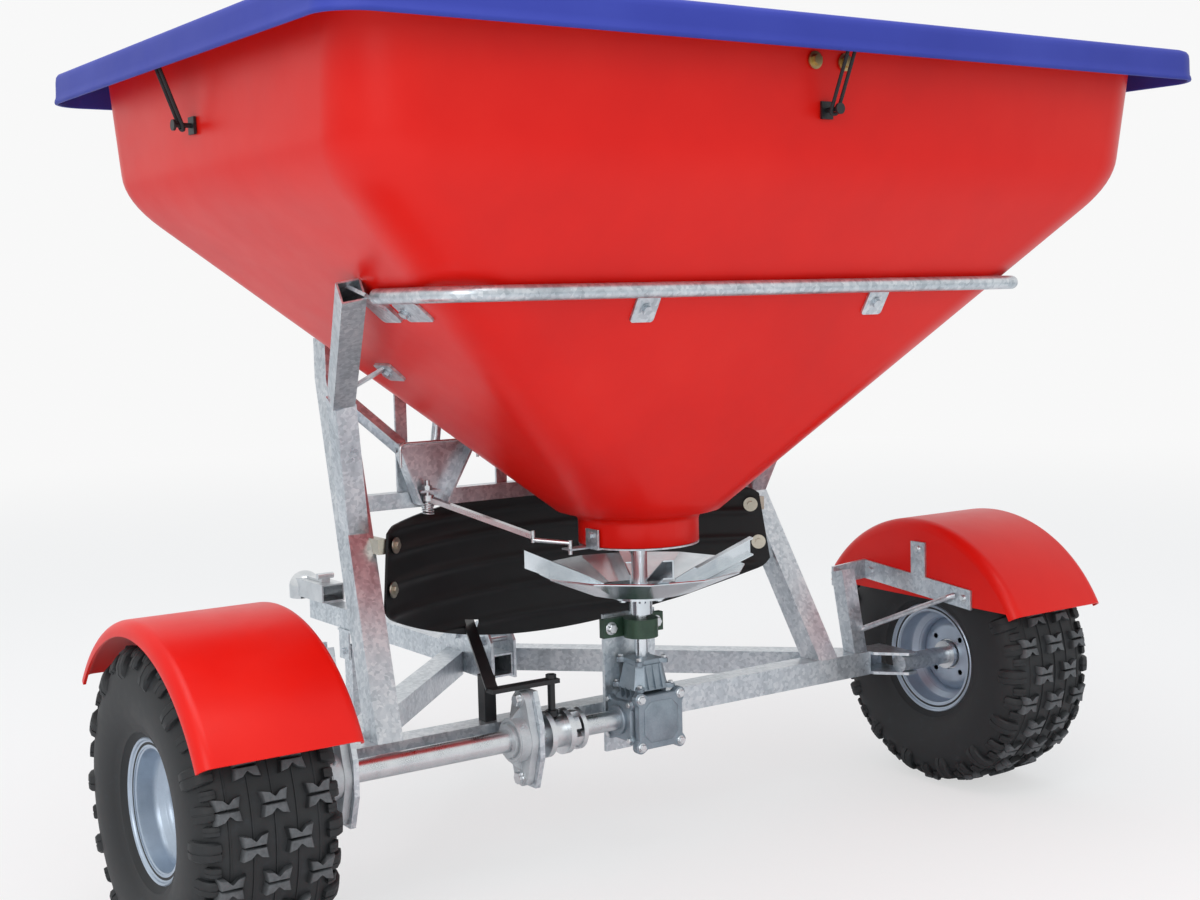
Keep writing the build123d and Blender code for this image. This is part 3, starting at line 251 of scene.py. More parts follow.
# %% [markdown]
# ## Bright and cast metals
#
# Shafts and fittings are turned or pressed steel with a zinc plating, so they
# are bright with fine tool marks. The disc and its blades are stainless sheet
# with a drawn grain. The gearbox and the bearing housings are castings, whose
# sand or die leaves a grain of about two millimetres. The rims have a silver
# lacquer. The hopper's bolts are yellow zinc plated, the deflector's are
# passivated, and the clutch lever and the lid's hooks are painted black.


# %% Metals
def plated(name, dark, pale, roughness, mark_mm, metallic=1.0, stretch=(1, 1, 1)):
    """Bright metal with fine marks, packed closer along an axis by the stretch."""
    material, tree, shader, place = new_material(name)
    drawn = add(tree, "VectorMath", {0: place, 1: stretch}, operation="MULTIPLY")
    fine = noise(tree, drawn.outputs["Vector"], mark_mm, 3.0)
    smoke = noise(tree, place, 45.0, 5.0)
    mixed = blend(tree, 0.5, fine, smoke)
    sheen = spread(tree, mixed, roughness - 0.07, roughness + 0.1)
    set_input(tree, shader, "Base Color", ramp(tree, mixed, [(0.3, dark), (0.7, pale)]))
    set_input(tree, shader, "Roughness", sheen)
    set_input(tree, shader, "Metallic", metallic)
    set_input(tree, shader, "Normal", bump(tree, fine, 0.05, 0.5))
    return material


def casting(name, dark, pale, roughness, metallic):
    """A grain of 2 mm, 0.4 mm deep, under patches 30 mm across."""
    material, tree, shader, place = new_material(name)
    sand = noise(tree, place, 2.2, 4.0, 0.7)
    patch = noise(tree, place, 30.0, 4.0)
    mixed = blend(tree, 0.6, sand, patch)
    sheen = spread(tree, patch, roughness - 0.06, roughness + 0.1)
    set_input(tree, shader, "Base Color", ramp(tree, mixed, [(0.3, dark), (0.7, pale)]))
    set_input(tree, shader, "Roughness", sheen)
    set_input(tree, shader, "Metallic", metallic)
    set_input(tree, shader, "Normal", bump(tree, sand, 0.4, 0.6))
    return material


materials["zinc_plate"] = plated("zinc_plated_steel", "#B6BBBF", "#E3E6E8", 0.27, 1.2)
drawn_across = (1, 12, 1)
materials["stainless"] = plated(
    "drawn_stainless_sheet", "#BCC4CA", "#E9EEF1", 0.2, 1.0, stretch=drawn_across
)
materials["rim_silver"] = plated("silver_lacquered_steel", "#9CA9B8", "#BECBD9", 0.36, 0.8, 0.7)
materials["cast_alloy"] = casting("die_cast_aluminium", "#78848D", "#9AA6B0", 0.4, 0.7)
materials["green_cast"] = casting("green_painted_cast_iron", "#23382D", "#36533F", 0.42, 0.1)
materials["cast_grey"] = casting("silver_painted_cast_iron", "#B0B6BA", "#D2D7DA", 0.4, 0.55)
yellow_zinc = plated("yellow_zinc_plated_steel", "#B39A66", "#D9C896", 0.3, 1.0)
passivated = plated("clear_passivated_steel", "#A39E90", "#CFCABB", 0.34, 1.0)
black_steel = plated("black_painted_steel", "#121316", "#1E2023", 0.4, 1.5, 0.1)
print("small parts", yellow_zinc.name, passivated.name, black_steel.name)

# %% [markdown]
# ## Rubber and cord
#
# Tyre rubber is black with a dry grey bloom, and the tops of its knobs are
# scuffed. An image could say where, but a value on each point of the mesh does
# it without one. The lid is held by elastic cords with a woven sleeve, whose
# threads lie about 2 mm apart.


# %% Rubber and cord
def rubber(name):
    """Black with a bloom 22 mm across. Where the point value "worn" is 1,
    grey shows through in patches of 7 mm."""
    material, tree, shader, place = new_material(name)
    bloom = noise(tree, place, 22.0, 6.0, 0.6)
    black = ramp(tree, bloom, [(0.3, "#101214"), (0.6, "#1A1D20"), (0.9, "#31353A")])
    worn = add(tree, "Attribute", attribute_name="worn").outputs["Fac"]
    patches = spread(tree, noise(tree, place, 7.0, 4.0), 0.2, 1.0)
    scuffed = add(tree, "Math", {0: worn, 1: patches}, operation="MULTIPLY").outputs[0]
    colours = {0: scuffed, 6: black, 7: linear("#6A6D70")}
    colour = add(tree, "Mix", colours, data_type="RGBA").outputs[2]
    set_input(tree, shader, "Base Color", colour)
    set_input(tree, shader, "IOR", 1.52)
    set_input(tree, shader, "Roughness", spread(tree, bloom, 0.5, 0.75))
    set_input(tree, shader, "Normal", bump(tree, noise(tree, place, 3.0, 4.0), 0.25, 0.5))
    return material


def woven_cord(name):
    """Dark threads: diagonal waves 2 mm apart and 0.4 mm deep."""
    material, tree, shader, place = new_material(name)
    waves = {"Vector": place, "Scale": 160.0, "Distortion": 2.0}
    thread = add(tree, "TexWave", waves, bands_direction="DIAGONAL").outputs["Fac"]
    colour = ramp(tree, thread, [(0.2, "#0C0D0F"), (0.8, "#26282C")])
    set_input(tree, shader, "Base Color", colour)
    set_input(tree, shader, "Roughness", 0.75)
    set_input(tree, shader, "Normal", bump(tree, thread, 0.4, 0.7))
    return material


materials["tyre_rubber"] = rubber("tyre_rubber")
materials["cord_black"] = woven_cord("woven_elastic_cord")
print("finishes", *materials)

# %% [markdown]
# ## Finishes on the carried-over nodes
#
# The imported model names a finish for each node. Four nodes hold small parts
# whose plating or paint differs from it, so they get their own.

# %% Give each carried-over node its finish
own_finish = {
    "hopper_bolts": yellow_zinc,
    "deflector_bolts": passivated,
    "clutch_lever": black_steel,
    "lid_hooks": black_steel,
}
for node, thing in frame["nodes"].items():
    thing.data.materials.clear()
    thing.data.materials.append(own_finish.get(node, materials[slots[node]]))
print("materials", len(bpy.data.materials))

# %% [markdown]
# ## Surfaces from arrays
#
# Every finer piece is a grid of points worked out with numpy. Rows of rings
# make tubes and shells, and short outlines carried along an axis make lugs and
# bolts. One function turns such arrays into an object that rides on the body
# of the node it stands for.


# %% Helpers for surfaces
def grid_faces(rows, columns, wrap_rows=False, wrap_columns=True):
    """Quads that join each point of a grid to the next along both ways."""
    i = np.arange(rows if wrap_rows else rows - 1)[:, None]
    j = np.arange(columns if wrap_columns else columns - 1)[None, :]
    here, there = i * columns, (i + 1) % rows * columns
    right = (j + 1) % columns
    return np.stack([here + j, here + right, there + right, there + j], -1).reshape(-1, 4)


def shell(rings, closed=False):
    """Rings of points joined in order: capped at both ends, or a closed loop."""
    rows, columns = rings.shape[:2]
    faces = grid_faces(rows, columns, wrap_rows=closed).tolist()
    if not closed:
        faces.append(list(range(columns))[::-1])
        faces.append(list(range((rows - 1) * columns, rows * columns)))
    return rings.reshape(-1, 3), faces


def joined(parts):
    """Several (points, faces) pairs as one."""
    counts = np.cumsum([0] + [len(points) for points, _ in parts])
    faces = [[c + i for i in face] for c, (_, fs) in zip(counts, parts) for face in fs]
    return np.concatenate([points for points, _ in parts]), faces


# %% Helpers that face a part outwards and make a piece
def volume(points, faces):
    """Signed volume: a sixth of the triple products of each face's fan."""
    total = 0.0
    for size in {len(face) for face in faces}:
        p = points[np.array([f for f in faces if len(f) == size])]
        for k in range(1, size - 1):
            total += np.einsum("ij,ij->i", p[:, 0], np.cross(p[:, k], p[:, k + 1])).sum() / 6
    return total


def outward(part):
    """The part with its faces turned over where they look inwards."""
    points, faces = part
    if volume(points - points.mean(0), faces) < 0:
        faces = [face[::-1] for face in faces]
    return points, faces


def piece(name, part, node, finish=None, stands_in=True, crease=32.0):
    """An object from (points in mm, faces), which rides on a node's body."""
    points, faces = outward(part)
    mesh = bpy.data.meshes.new(name)
    mesh.from_pydata(to_frame(points).tolist(), [], faces)
    mesh.polygons.foreach_set("use_smooth", np.ones(len(mesh.polygons), bool))
    mesh.set_sharp_from_angle(angle=radians(crease))
    mesh.materials.append(finish or materials[slots[node]])
    thing = bpy.data.objects.new(name, mesh)
    bpy.context.scene.collection.objects.link(thing)
    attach(thing, body_of[node])
    if stands_in:
        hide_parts(node)
    print(name, len(points), "points")
    return thing


# %% Helpers for turned, carried and swept shapes
def turned(profile, segments, centre_y):
    """A closed outline of (y, radius) turned about the wheel axis."""
    y, r = np.asarray(profile, float).T
    angle = np.arange(segments)[:, None] * 2 * pi / segments
    rings = np.stack(
        [r * np.cos(angle), centre_y + y + 0 * angle, AXLE_Z + r * np.sin(angle)], -1
    )
    return shell(rings, closed=True)


def placed(points, origin, across, along):
    """Points (u, v, w) laid out from an origin with w along an axis."""
    w = np.asarray(along, float) / np.linalg.norm(along)
    u = np.asarray(across, float) - w * np.dot(across, w)
    u /= np.linalg.norm(u)
    return np.asarray(origin, float) + points @ np.array([u, np.cross(w, u), w])


def prism(outline, steps, origin, across, along):
    """An outline carried along an axis: steps are (distance, scale) rings."""
    outline = np.asarray(outline, float)
    rings = [np.c_[outline * s, np.full(len(outline), w)] for w, s in steps]
    points, faces = shell(np.array(rings))
    return placed(points, origin, across, along), faces


def round_outline(radius, samples=56):
    """Points at even angles round a circle."""
    a = np.arange(samples) * 2 * pi / samples
    return radius * np.stack([np.cos(a), np.sin(a)], 1)


def swept(path, radius, helper, sides=14):
    """A round rod: p + radius (n1 cos a + n2 sin a), with n1 = tangent x helper."""
    path = np.asarray(path, float)
    tangent = np.gradient(path, axis=0)
    first = np.cross(tangent, np.asarray(helper, float))
    first /= np.linalg.norm(first, axis=1, keepdims=True)
    second = np.cross(tangent, first)
    second /= np.linalg.norm(second, axis=1, keepdims=True)
    a = (np.arange(sides) * 2 * pi / sides)[None, :, None]
    rings = path[:, None] + radius * (first[:, None] * np.cos(a) + second[:, None] * np.sin(a))
    return outward(shell(rings))


def hexagon_head(origin, along, radius, height, washer=0.0):
    """Hexagon head with a chamfered crown, on a round washer where it has one."""
    across = LEFT if abs(along[1]) < 0.8 else AHEAD
    steps = [(0, radius), (height - 1.4, radius), (height, radius * 0.86)]
    head = prism(round_outline(1.0, 6), steps, origin, across, along)
    if not washer:
        return head
    rings = [(-0.5, washer), (1.2, washer), (1.8, washer - 0.7)]
    return joined([head, prism(round_outline(1.0, 28), rings, origin, across, along)])


# %% [markdown]
# ## Hopper
#
# The hopper is one hollow moulding: a short round spout, four slopes with soft
# corners, a rounded bend and upright walls that end in a flat rim. It could be
# carved from boxes, but rings of a rounded rectangle, whose half sizes and
# corner radius change with height, give the soft bend and corners directly.


# %% Hopper rings
def rounded_rings(rows, per_corner=14):
    """Rings from (z, half x, half y, corner): corner arcs of radius r about
    the points (half x - r, half y - r) and their mirror images."""
    z, hx, hy, r = (column[:, None] for column in np.asarray(rows, float).T)
    quarter = np.linspace(0, pi / 2, per_corner + 1)
    angle = np.concatenate([quarter + k * pi / 2 for k in range(4)])[None, :]
    sign_x = np.repeat([1, -1, -1, 1], per_corner + 1)[None, :]
    sign_y = np.repeat([1, 1, -1, -1], per_corner + 1)[None, :]
    x = sign_x * (hx - r) + r * np.cos(angle)
    y = sign_y * (hy - r) + r * np.sin(angle)
    return np.stack([x, y, z + 0 * angle], -1)


SPOUT_Z, THROAT_Z, BEND_Z, RIM_Z = 611.0, 668.0, 1261.0, 1495.0
THROAT = np.array([140.0, 140.0, 115.0])
BEND = np.array([508.0, 817.0, 120.0])
WALL_TOP = np.array([530.0, 826.0, 100.0])
HOPPER_WALL = 8.0


def slope_at(z):
    """Half sizes and corner on the slopes, linear between throat and bend."""
    return THROAT + (BEND - THROAT) * (z - THROAT_Z) / (BEND_Z - THROAT_Z)


def wall_at(z):
    """Half sizes and corner on the upright walls, linear above the bend."""
    return BEND + (WALL_TOP - BEND) * (z - BEND_Z) / (RIM_Z - BEND_Z)


def bend_rows(reach=46.0, steps=9):
    """The bend as a quadratic curve from the slope through BEND to the wall."""
    t = np.linspace(0, 1, steps)[:, None]
    low, high = slope_at(BEND_Z - reach), wall_at(BEND_Z + reach)
    sizes = (1 - t) ** 2 * low + 2 * t * (1 - t) * BEND + t**2 * high
    return np.c_[BEND_Z + reach * (2 * t - 1), sizes]


def ring_row(z, sizes, grow=0.0):
    """One ring's row, with its half sizes and corner grown by an amount."""
    return [z, *(sizes + grow)]


outer = [[SPOUT_Z, 112, 112, 112], [SPOUT_Z + 2, 114, 114, 114], [652, 114, 114, 114]]
outer += [[657, 115, 115, 115], [662, 118, 118, 117], [666, 125, 125, 118], [669, 136, 136, 117]]
outer += [ring_row(z, slope_at(z)) for z in (672, 700, 800, 900, 1000, 1100, 1180)]
outer += bend_rows().tolist()
outer += [ring_row(z, wall_at(z)) for z in (1350, 1420, 1468)]
outer += [ring_row(1478, wall_at(1478), 2), ring_row(1484, wall_at(1484), 8)]
outer += [[1487, 548, 844, 84], [1487, 581, 877, 52], [1489, 582, 878, 52], [1494, 582, 878, 52]]
outer += [[RIM_Z, 581, 877, 52], [RIM_Z, 530, 826, 96]]
inner = [ring_row(z, wall_at(z), -HOPPER_WALL) for z in (1488, 1420)]
inner_bend = bend_rows()[::-1]
inner_bend[:, 1:] -= HOPPER_WALL
inner += inner_bend.tolist()
inner += [ring_row(z, slope_at(z), -HOPPER_WALL) for z in (1100, 900, 760, 680)]
inner += [[674, 118, 118, 104], [670, 108, 108, 105], [664, 106, 106, 105.9]]
inner += [[SPOUT_Z, 106, 106, 105.9]]
piece("hopper_moulding", shell(rounded_rings(outer + inner), closed=True), "hopper", crease=50)

# %% [markdown]
# ## Lid
#
# The lid is a shallow moulded tray turned over the rim. Its skirt ends in a
# thicker bead, and its top rises to a flat crown so that rain runs off. The
# hopper's rings serve again: rows from the crown out, down the skirt and back
# under it give both skins as one closed shape.

# %% Lid rings
LID_X, LID_Y, LID_CORNER = 594.0, 890.0, 64.0


def lid_row(z, inset):
    """One ring's row: the lid's plan shrunk by an inset, its corners less so."""
    return [z, LID_X - inset, LID_Y - inset, LID_CORNER - 0.8 * min(inset, 40)]


lid_top = [lid_row(1517.3, 196), lid_row(1516.6, 186), lid_row(1508, 110), lid_row(1500.6, 44)]
lid_top += [lid_row(1499.4, 26), lid_row(1498.2, 12), lid_row(1495.2, 5), lid_row(1490, 1.5)]
lid_skirt = [lid_row(1482, 0.5), lid_row(1462, 0), lid_row(1454, -0.6), lid_row(1450, -2.4)]
lid_skirt += [lid_row(1446.5, -3), lid_row(1443.6, -2), lid_row(1442.6, 0.5), lid_row(1443.4, 3.2)]
lid_under = [lid_row(1448, 4.6), lid_row(1484, 5.2), lid_row(1492, 8), lid_row(1495.4, 26)]
lid_under += [lid_row(1496, 50), lid_row(1504, 112), lid_row(1512.8, 194)]
piece("lid_moulding", shell(rounded_rings(lid_top + lid_skirt + lid_under)), "hopper_lid", crease=50)

# %% [markdown]
# ## Mudguards
#
# Each mudguard is a moulded arch with rounded long edges. Its inner side runs
# down to a straight lower edge, where the bracket's strip is bolted. A modifier
# could thicken an open sheet, but a closed section turned about the wheel's
# axis gives the rounded edges and the lip at once.

# %% Mudguards
GUARD_RADIUS, GUARD_DROP, GUARD_ROUND, GUARD_WALL = 325.0, 18.0, 22.0, 4.0
GUARD_Y, GUARD_Z = (722.0, 990.0), AXLE_Z - GUARD_DROP


def guard_section():
    """Across the arch: (y, radius) of the skin out and back, 4 mm apart."""
    turn = np.linspace(0, pi / 2, 9)
    outer_y, outer_r = GUARD_Y[1] - GUARD_ROUND, GUARD_RADIUS - GUARD_ROUND
    inner_y = GUARD_Y[0] + GUARD_ROUND
    edges = []
    for r in (GUARD_ROUND, GUARD_ROUND - GUARD_WALL):
        right = np.c_[outer_y + r * np.cos(turn), outer_r + r * np.sin(turn)]
        left = np.c_[inner_y - r * np.sin(turn), outer_r + r * np.cos(turn)]
        edges.append(np.r_[right, left])
    lip = [[GUARD_Y[1] - GUARD_WALL - 1, outer_r - 3], [GUARD_Y[1], outer_r - 3]]
    return np.r_[edges[0], edges[1][::-1], lip]


def guard_points(side):
    """The section turned from 28 to 142 degrees, and a flat cheek inside it
    that ends on the straight line between its lower corners."""
    y, r = guard_section().T
    angle = np.radians(np.linspace(28, 142, 58))[:, None]
    x, z = -r * np.cos(angle), GUARD_Z + r * np.sin(angle)
    arch = shell(np.stack([x, side * (y + 0 * angle), z], -1))
    turn = np.radians(np.linspace(30.8, 147.6, 50))
    cheek_r = GUARD_RADIUS - GUARD_ROUND + 0.6
    x, z = -cheek_r * np.cos(turn), GUARD_Z + cheek_r * np.sin(turn)
    sides = [GUARD_Y[0] + 0.05, GUARD_Y[0] + GUARD_WALL]
    cheek = shell(np.array([np.c_[x, np.full(len(turn), side * y), z] for y in sides]))
    return joined([outward(arch), outward(cheek)])


for name, side in (("left", 1), ("right", -1)):
    piece(f"mudguard_moulding_{name}", guard_points(side), f"mudguard_{name}", crease=40)

# %% [markdown]
# ## Deflector
#
# A black moulded sheet curves round the front of the disc and turns back what
# the blades throw forward. Long soft ribs stiffen it. Each rib is a bell curve
# in height, pressed towards the disc. The clutch lever passes through a slot
# low in the sheet, where a block of the grid is left out. Both skins come from
# one formula, so the sheet keeps its thickness.

# %% Deflector
DEFLECTOR_R, DEFLECTOR_X = 738.06, -416.06
RIBS_Z = np.array([436.0, 497.0, 554.0, 611.0, 655.0])
LEVER_SLOT = (slice(5, 10), slice(83, 88))


def deflector_points(columns=120, rows=90):
    """Sheet x(y) = centre + sqrt(R^2 - y^2), its edges parabolas in y, nipped
    in by up to 11 mm at its ends. The ribs fade out before the ends."""
    s = np.linspace(-1, 1, columns)[None, :]
    t = np.linspace(0, 1, rows)[:, None]
    inset = 11 * np.clip((np.abs(s) - 0.955) / 0.045, 0, 1) ** 2
    low, high = 393 + 106 * s**2, 688 - 28 * s**2
    z = (low + inset) + (high - low - 2 * inset) * t
    y = s * (486.0 - 0.122 * (z - 300))
    ribs = np.exp(-(((z[..., None] - RIBS_Z) / 8.5) ** 2)).sum(-1)
    depth = 4.6 * ribs * np.clip((1 - np.abs(s)) / 0.06, 0, 1)
    across = np.sqrt(DEFLECTOR_R**2 - y**2) / DEFLECTOR_R
    sheets = []
    for offset in (0.0, 5.0):
        radius = DEFLECTOR_R - offset - depth
        sheets.append(np.stack([DEFLECTOR_X + radius * across, radius * y / DEFLECTOR_R, z], -1))
    front, back = sheets
    count = rows * columns
    kept = np.ones((rows - 1, columns - 1), bool)
    kept[LEVER_SLOT] = False
    faces = grid_faces(rows, columns, wrap_columns=False)[kept.ravel()]

    def wall(r0, r1, c0, c1, way):
        """Quads between both skins round a block of the grid."""
        along, up = np.arange(c0, c1), np.arange(r0, r1)
        low, right = r0 * columns + along, c1 + columns * up
        high, left = r1 * columns + along[::-1] + 1, c0 + columns * (up[::-1] + 1)
        rim = np.r_[low, right, high, left][::way]
        after = np.roll(rim, -1)
        return np.stack([rim, rim + count, after + count, after], -1)

    gap_rows, gap_columns = LEVER_SLOT
    edge = wall(0, rows - 1, 0, columns - 1, 1)
    gap = wall(gap_rows.start, gap_rows.stop, gap_columns.start, gap_columns.stop, -1)
    points = np.r_[front.reshape(-1, 3), back.reshape(-1, 3)]
    return points, np.r_[faces, faces[:, ::-1] + count, edge, gap].tolist()


piece("deflector_sheet", deflector_points(), "deflector", crease=40)

# %% [markdown]
# ## Tyres
#
# The tyres have an open tread of bow-tie knobs in staggered rows, and longer
# lugs that wrap over the shoulders. A knob is a short outline lifted from the
# carcass: its place along the tread becomes an angle, so it bends with it.

# %% Carcass, knob and lug outlines
LUGS_ROUND = 14
half_profile = [(89.2, 101.9), (90, 112), (95, 120), (101.8, 127), (103.6, 128), (104.6, 131)]
half_profile += [(104.4, 133), (110, 143), (115, 155), (118.6, 170), (120, 186), (119.6, 204)]
half_profile += [(117, 220), (111.5, 235), (103, 247), (91, 255), (74, 260), (73, 262), (71, 262)]
half_profile += [(70, 260.6), (37.5, 262.5), (37, 264.6), (35, 264.6), (34.5, 262.7), (1.5, 263)]
half_profile += [(1, 265), (0, 265)]
carcass = np.array(half_profile + [(-y, r) for y, r in half_profile[-2::-1]])
half_knob = [(0.07, -0.82), (0.93, -1.0), (0.80, -0.46), (0.40, -0.05), (0.40, 0.05)]
half_knob += [(0.80, 0.46), (0.93, 1.0), (0.07, 0.82)]
half_knob = np.array(half_knob)
KNOB_ALONG, KNOB_ACROSS = 21.0, 21.5
# how far each ring lies below the top, and its scale
knob_steps = [(-15.0, 1.12), (-2.0, 0.96), (-0.6, 0.9), (0.0, 0.82)]
# place along a lug from end to end, and the section's scale there
lug_steps = [(-1, 0.72), (-0.8, 0.96), (-0.12, 1.0), (-0.1, 0.93)]
lug_steps += [(0.1, 0.93), (0.12, 1.0), (0.8, 0.96), (1, 0.72)]
print("carcass points", len(carcass), "knob outline", len(half_knob))


# %% Knobs and lugs
def tread_knobs(y_row, top, stagger):
    """Two wings a knob. A point (u, v) goes to angle + u / top and y + v, on
    rings at rising radius that shrink towards the knob's middle."""
    turns = (np.arange(LUGS_ROUND) + stagger) * 2 * pi / LUGS_ROUND
    parts = []
    for way in (1, -1):
        wing = half_knob * np.array([way, 1.0])
        middle = wing.mean(0)
        rings = []
        for rise, scale in knob_steps:
            u, v = ((wing - middle) * scale + middle).T
            angle = -turns[:, None] + u * KNOB_ALONG / top
            r = top + rise
            y = y_row + v * KNOB_ACROSS + 0 * angle
            rings.append(np.stack([r * np.cos(angle), y, AXLE_Z + r * np.sin(angle)], -1))
        for knob in np.array(rings).transpose(1, 0, 2, 3):
            parts.append(shell(knob if way > 0 else knob[:, ::-1]))
    return parts


def shoulder_lugs(side, section, stagger, half_length):
    """A (y, radius) section carried along the tread, narrower at its ends."""
    turns = (np.arange(LUGS_ROUND) + stagger) * 2 * pi / LUGS_ROUND
    section = np.array(section, float)
    middle = section.mean(0)
    parts = []
    for turn in turns:
        rings = []
        for place, scale in lug_steps:
            y, r = ((section - middle) * scale + middle).T
            angle = -turn + place * half_length / r
            rings.append(np.stack([r * np.cos(angle), side * y, AXLE_Z + r * np.sin(angle)], -1))
        parts.append(shell(np.array(rings)))
    return parts


# %% One tread for both tyres
long_lug = [(84, 256), (86, 264), (101, 262.5), (114, 252)]
long_lug += [(122, 236), (123, 222), (117, 212), (104, 240)]
nub = [(86, 250), (87, 263), (94, 262.4), (104, 256), (108, 248), (100, 240)]
short_lug = [(90, 252), (91, 262), (103, 259.5), (114, 247), (118.5, 236), (112, 230), (100, 244)]
# each row's distance from the middle, top radius and stagger
tread_rows = [(0, 275, 0.5), (36, 273.6, 0.0), (-36, 273.6, 0.0)]
tread_rows += [(72, 270.5, 0.5), (-72, 270.5, 0.5)]
lugs = []
for y_row, top, stagger in tread_rows:
    lugs += tread_knobs(y_row, top, stagger)
for side in (1, -1):
    lugs += shoulder_lugs(side, long_lug, 0.0, 15.0)
    lugs += shoulder_lugs(side, short_lug, 0.5, 12.0)
    lugs += shoulder_lugs(side, nub, 0.27, 8.0) + shoulder_lugs(side, nub, 0.73, 8.0)
lug_points, lug_faces = joined([outward(lug) for lug in lugs])
print("lugs", len(lugs))


# %% Tyres
def wear(points):
    """1 on the knobs' tops and 0 from 1.5 mm below them. The tops follow the
    tread's crown, whose radius falls with the square of y."""
    y = np.minimum(np.abs(points[:, 1]), 86)
    r = np.hypot(points[:, 0], points[:, 2] - AXLE_Z)
    return np.clip((r - (272.4 - 0.00087 * y**2)) / 1.5, 0, 1)


VALVE_X, VALVE_OUT, VALVE_DROP, VALVE_RADIUS = -52, 46, 69, 4.6
valve_steps = [(0, 1), (24, 1), (24.5, 0.8), (27, 0.8), (27.6, 0.6)]
for name, side in (("left", 1), ("right", -1)):
    centre = np.array([0, side * WHEEL_Y, 0])
    foot = (VALVE_X, side * (WHEEL_Y + VALVE_OUT), AXLE_Z - VALVE_DROP)
    valve = prism(round_outline(VALVE_RADIUS, 20), valve_steps, foot, AHEAD, (0, side, 0))
    body = outward(turned(carcass, 128, side * WHEEL_Y))
    points, faces = joined([body, (lug_points + centre, lug_faces), outward(valve)])
    tyre = piece(f"tyre_tread_{name}", (points, faces), f"tyre_{name}", crease=38)
    worn = tyre.data.attributes.new("worn", "FLOAT", "POINT")
    worn.data.foreach_set("value", wear(points - centre))

# %% [markdown]
# ## Rims
#
# The rims are rolled from steel strip: a curled lip, a seat for the bead and a
# deep well, with a dished disc welded inside. Both are outlines turned about
# the wheel's axis, as a roller shapes the real ones.

# %% Rims
barrel_seen = [(95.4, 116.4), (93.6, 113.4), (91.2, 112.2), (89.4, 109), (88.6, 102), (86.5, 99)]
barrel_seen += [(80, 98), (62, 97.2), (54, 95.6), (48, 90.5), (43, 83.5), (38, 80), (30, 78.6)]
barrel_seen += [(0, 78.2), (-30, 78.4), (-38, 80), (-43, 84), (-48, 91), (-54, 96), (-62, 97.4)]
barrel_seen += [(-86.5, 99), (-88.6, 102), (-89.4, 109), (-91.2, 112.2), (-93.6, 113.4)]
barrel_seen += [(-95.4, 116.4)]
barrel_back = [(-93.4, 118.6), (-90.0, 116.6), (-89.4, 113), (-89.5, 101.5), (-58, 101.5), (-44, 84)]
barrel_back += [(-36, 82), (38, 82), (46, 86), (56, 99), (62, 101.5), (89.5, 101.5), (89.4, 113)]
barrel_back += [(90.0, 116.6), (93.4, 118.6)]
disc_section = [(-40, 33.4), (-40, 58), (-39, 64), (-34, 71), (-27, 78.4), (-22, 78.6), (-25, 75)]
disc_section += [(-30, 69), (-35, 62), (-36, 57), (-36, 33.4), (-37, 32.8), (-39, 32.8)]
for name, side in (("left", 1), ("right", -1)):
    parts = []
    for section in (barrel_seen + barrel_back, disc_section):
        flipped = [(side * y, r) for y, r in section]
        parts.append(outward(turned(flipped, 96, side * WHEEL_Y)))
    piece(f"rim_pressing_{name}", joined(parts), f"rim_{name}", crease=30)

# %% [markdown]
# ## Gearbox
#
# The bevel gearbox is die cast: a square case with a bolted rear cover, a
# flange round each side opening and a ribbed neck that carries the upright
# shaft. Each cover has round lobes at its corners for the bolts. In polar form
# its outline is the farther of a chamfered square and four circles.


# %% Helpers for castings
def lobed(half, lobe_at, lobe_radius, samples=168):
    """Outline r(a): the larger of half / max(|cos a|, |sin a|), cut by a
    chamfer, and the far crossing of the ray with a circle at each corner."""
    a = np.arange(samples) * 2 * pi / samples
    c, s = np.abs(np.cos(a)), np.abs(np.sin(a))
    square = np.minimum(half / np.maximum(c, s), 1.62 * half / (c + s))
    middle = lobe_at * (c + s)
    inside = middle**2 - 2 * lobe_at**2 + lobe_radius**2
    lobe = np.where(inside > 0, middle + np.sqrt(np.maximum(inside, 0)), 0)
    r = np.maximum(square, lobe)
    return np.stack([r * np.cos(a), r * np.sin(a)], 1)


def bevelled(depth, edge=0.97, bevel=2.0):
    """Steps of a plate whose outer edge is bevelled down to a scale."""
    return [(0, 1), (depth - bevel, 1), (depth - 0.5 * bevel, (1 + edge) / 2 + 0.006), (depth, edge)]


def rib(foot, top, width, across, out, origin):
    """A thin fin: four corners from its foot to its top, with a width."""
    outline = [(0, 0), (foot[0], 0), (top[0], top[1]), (0, top[1])]
    return prism(outline, [(0, 1), (width, 1)], origin, out, across)


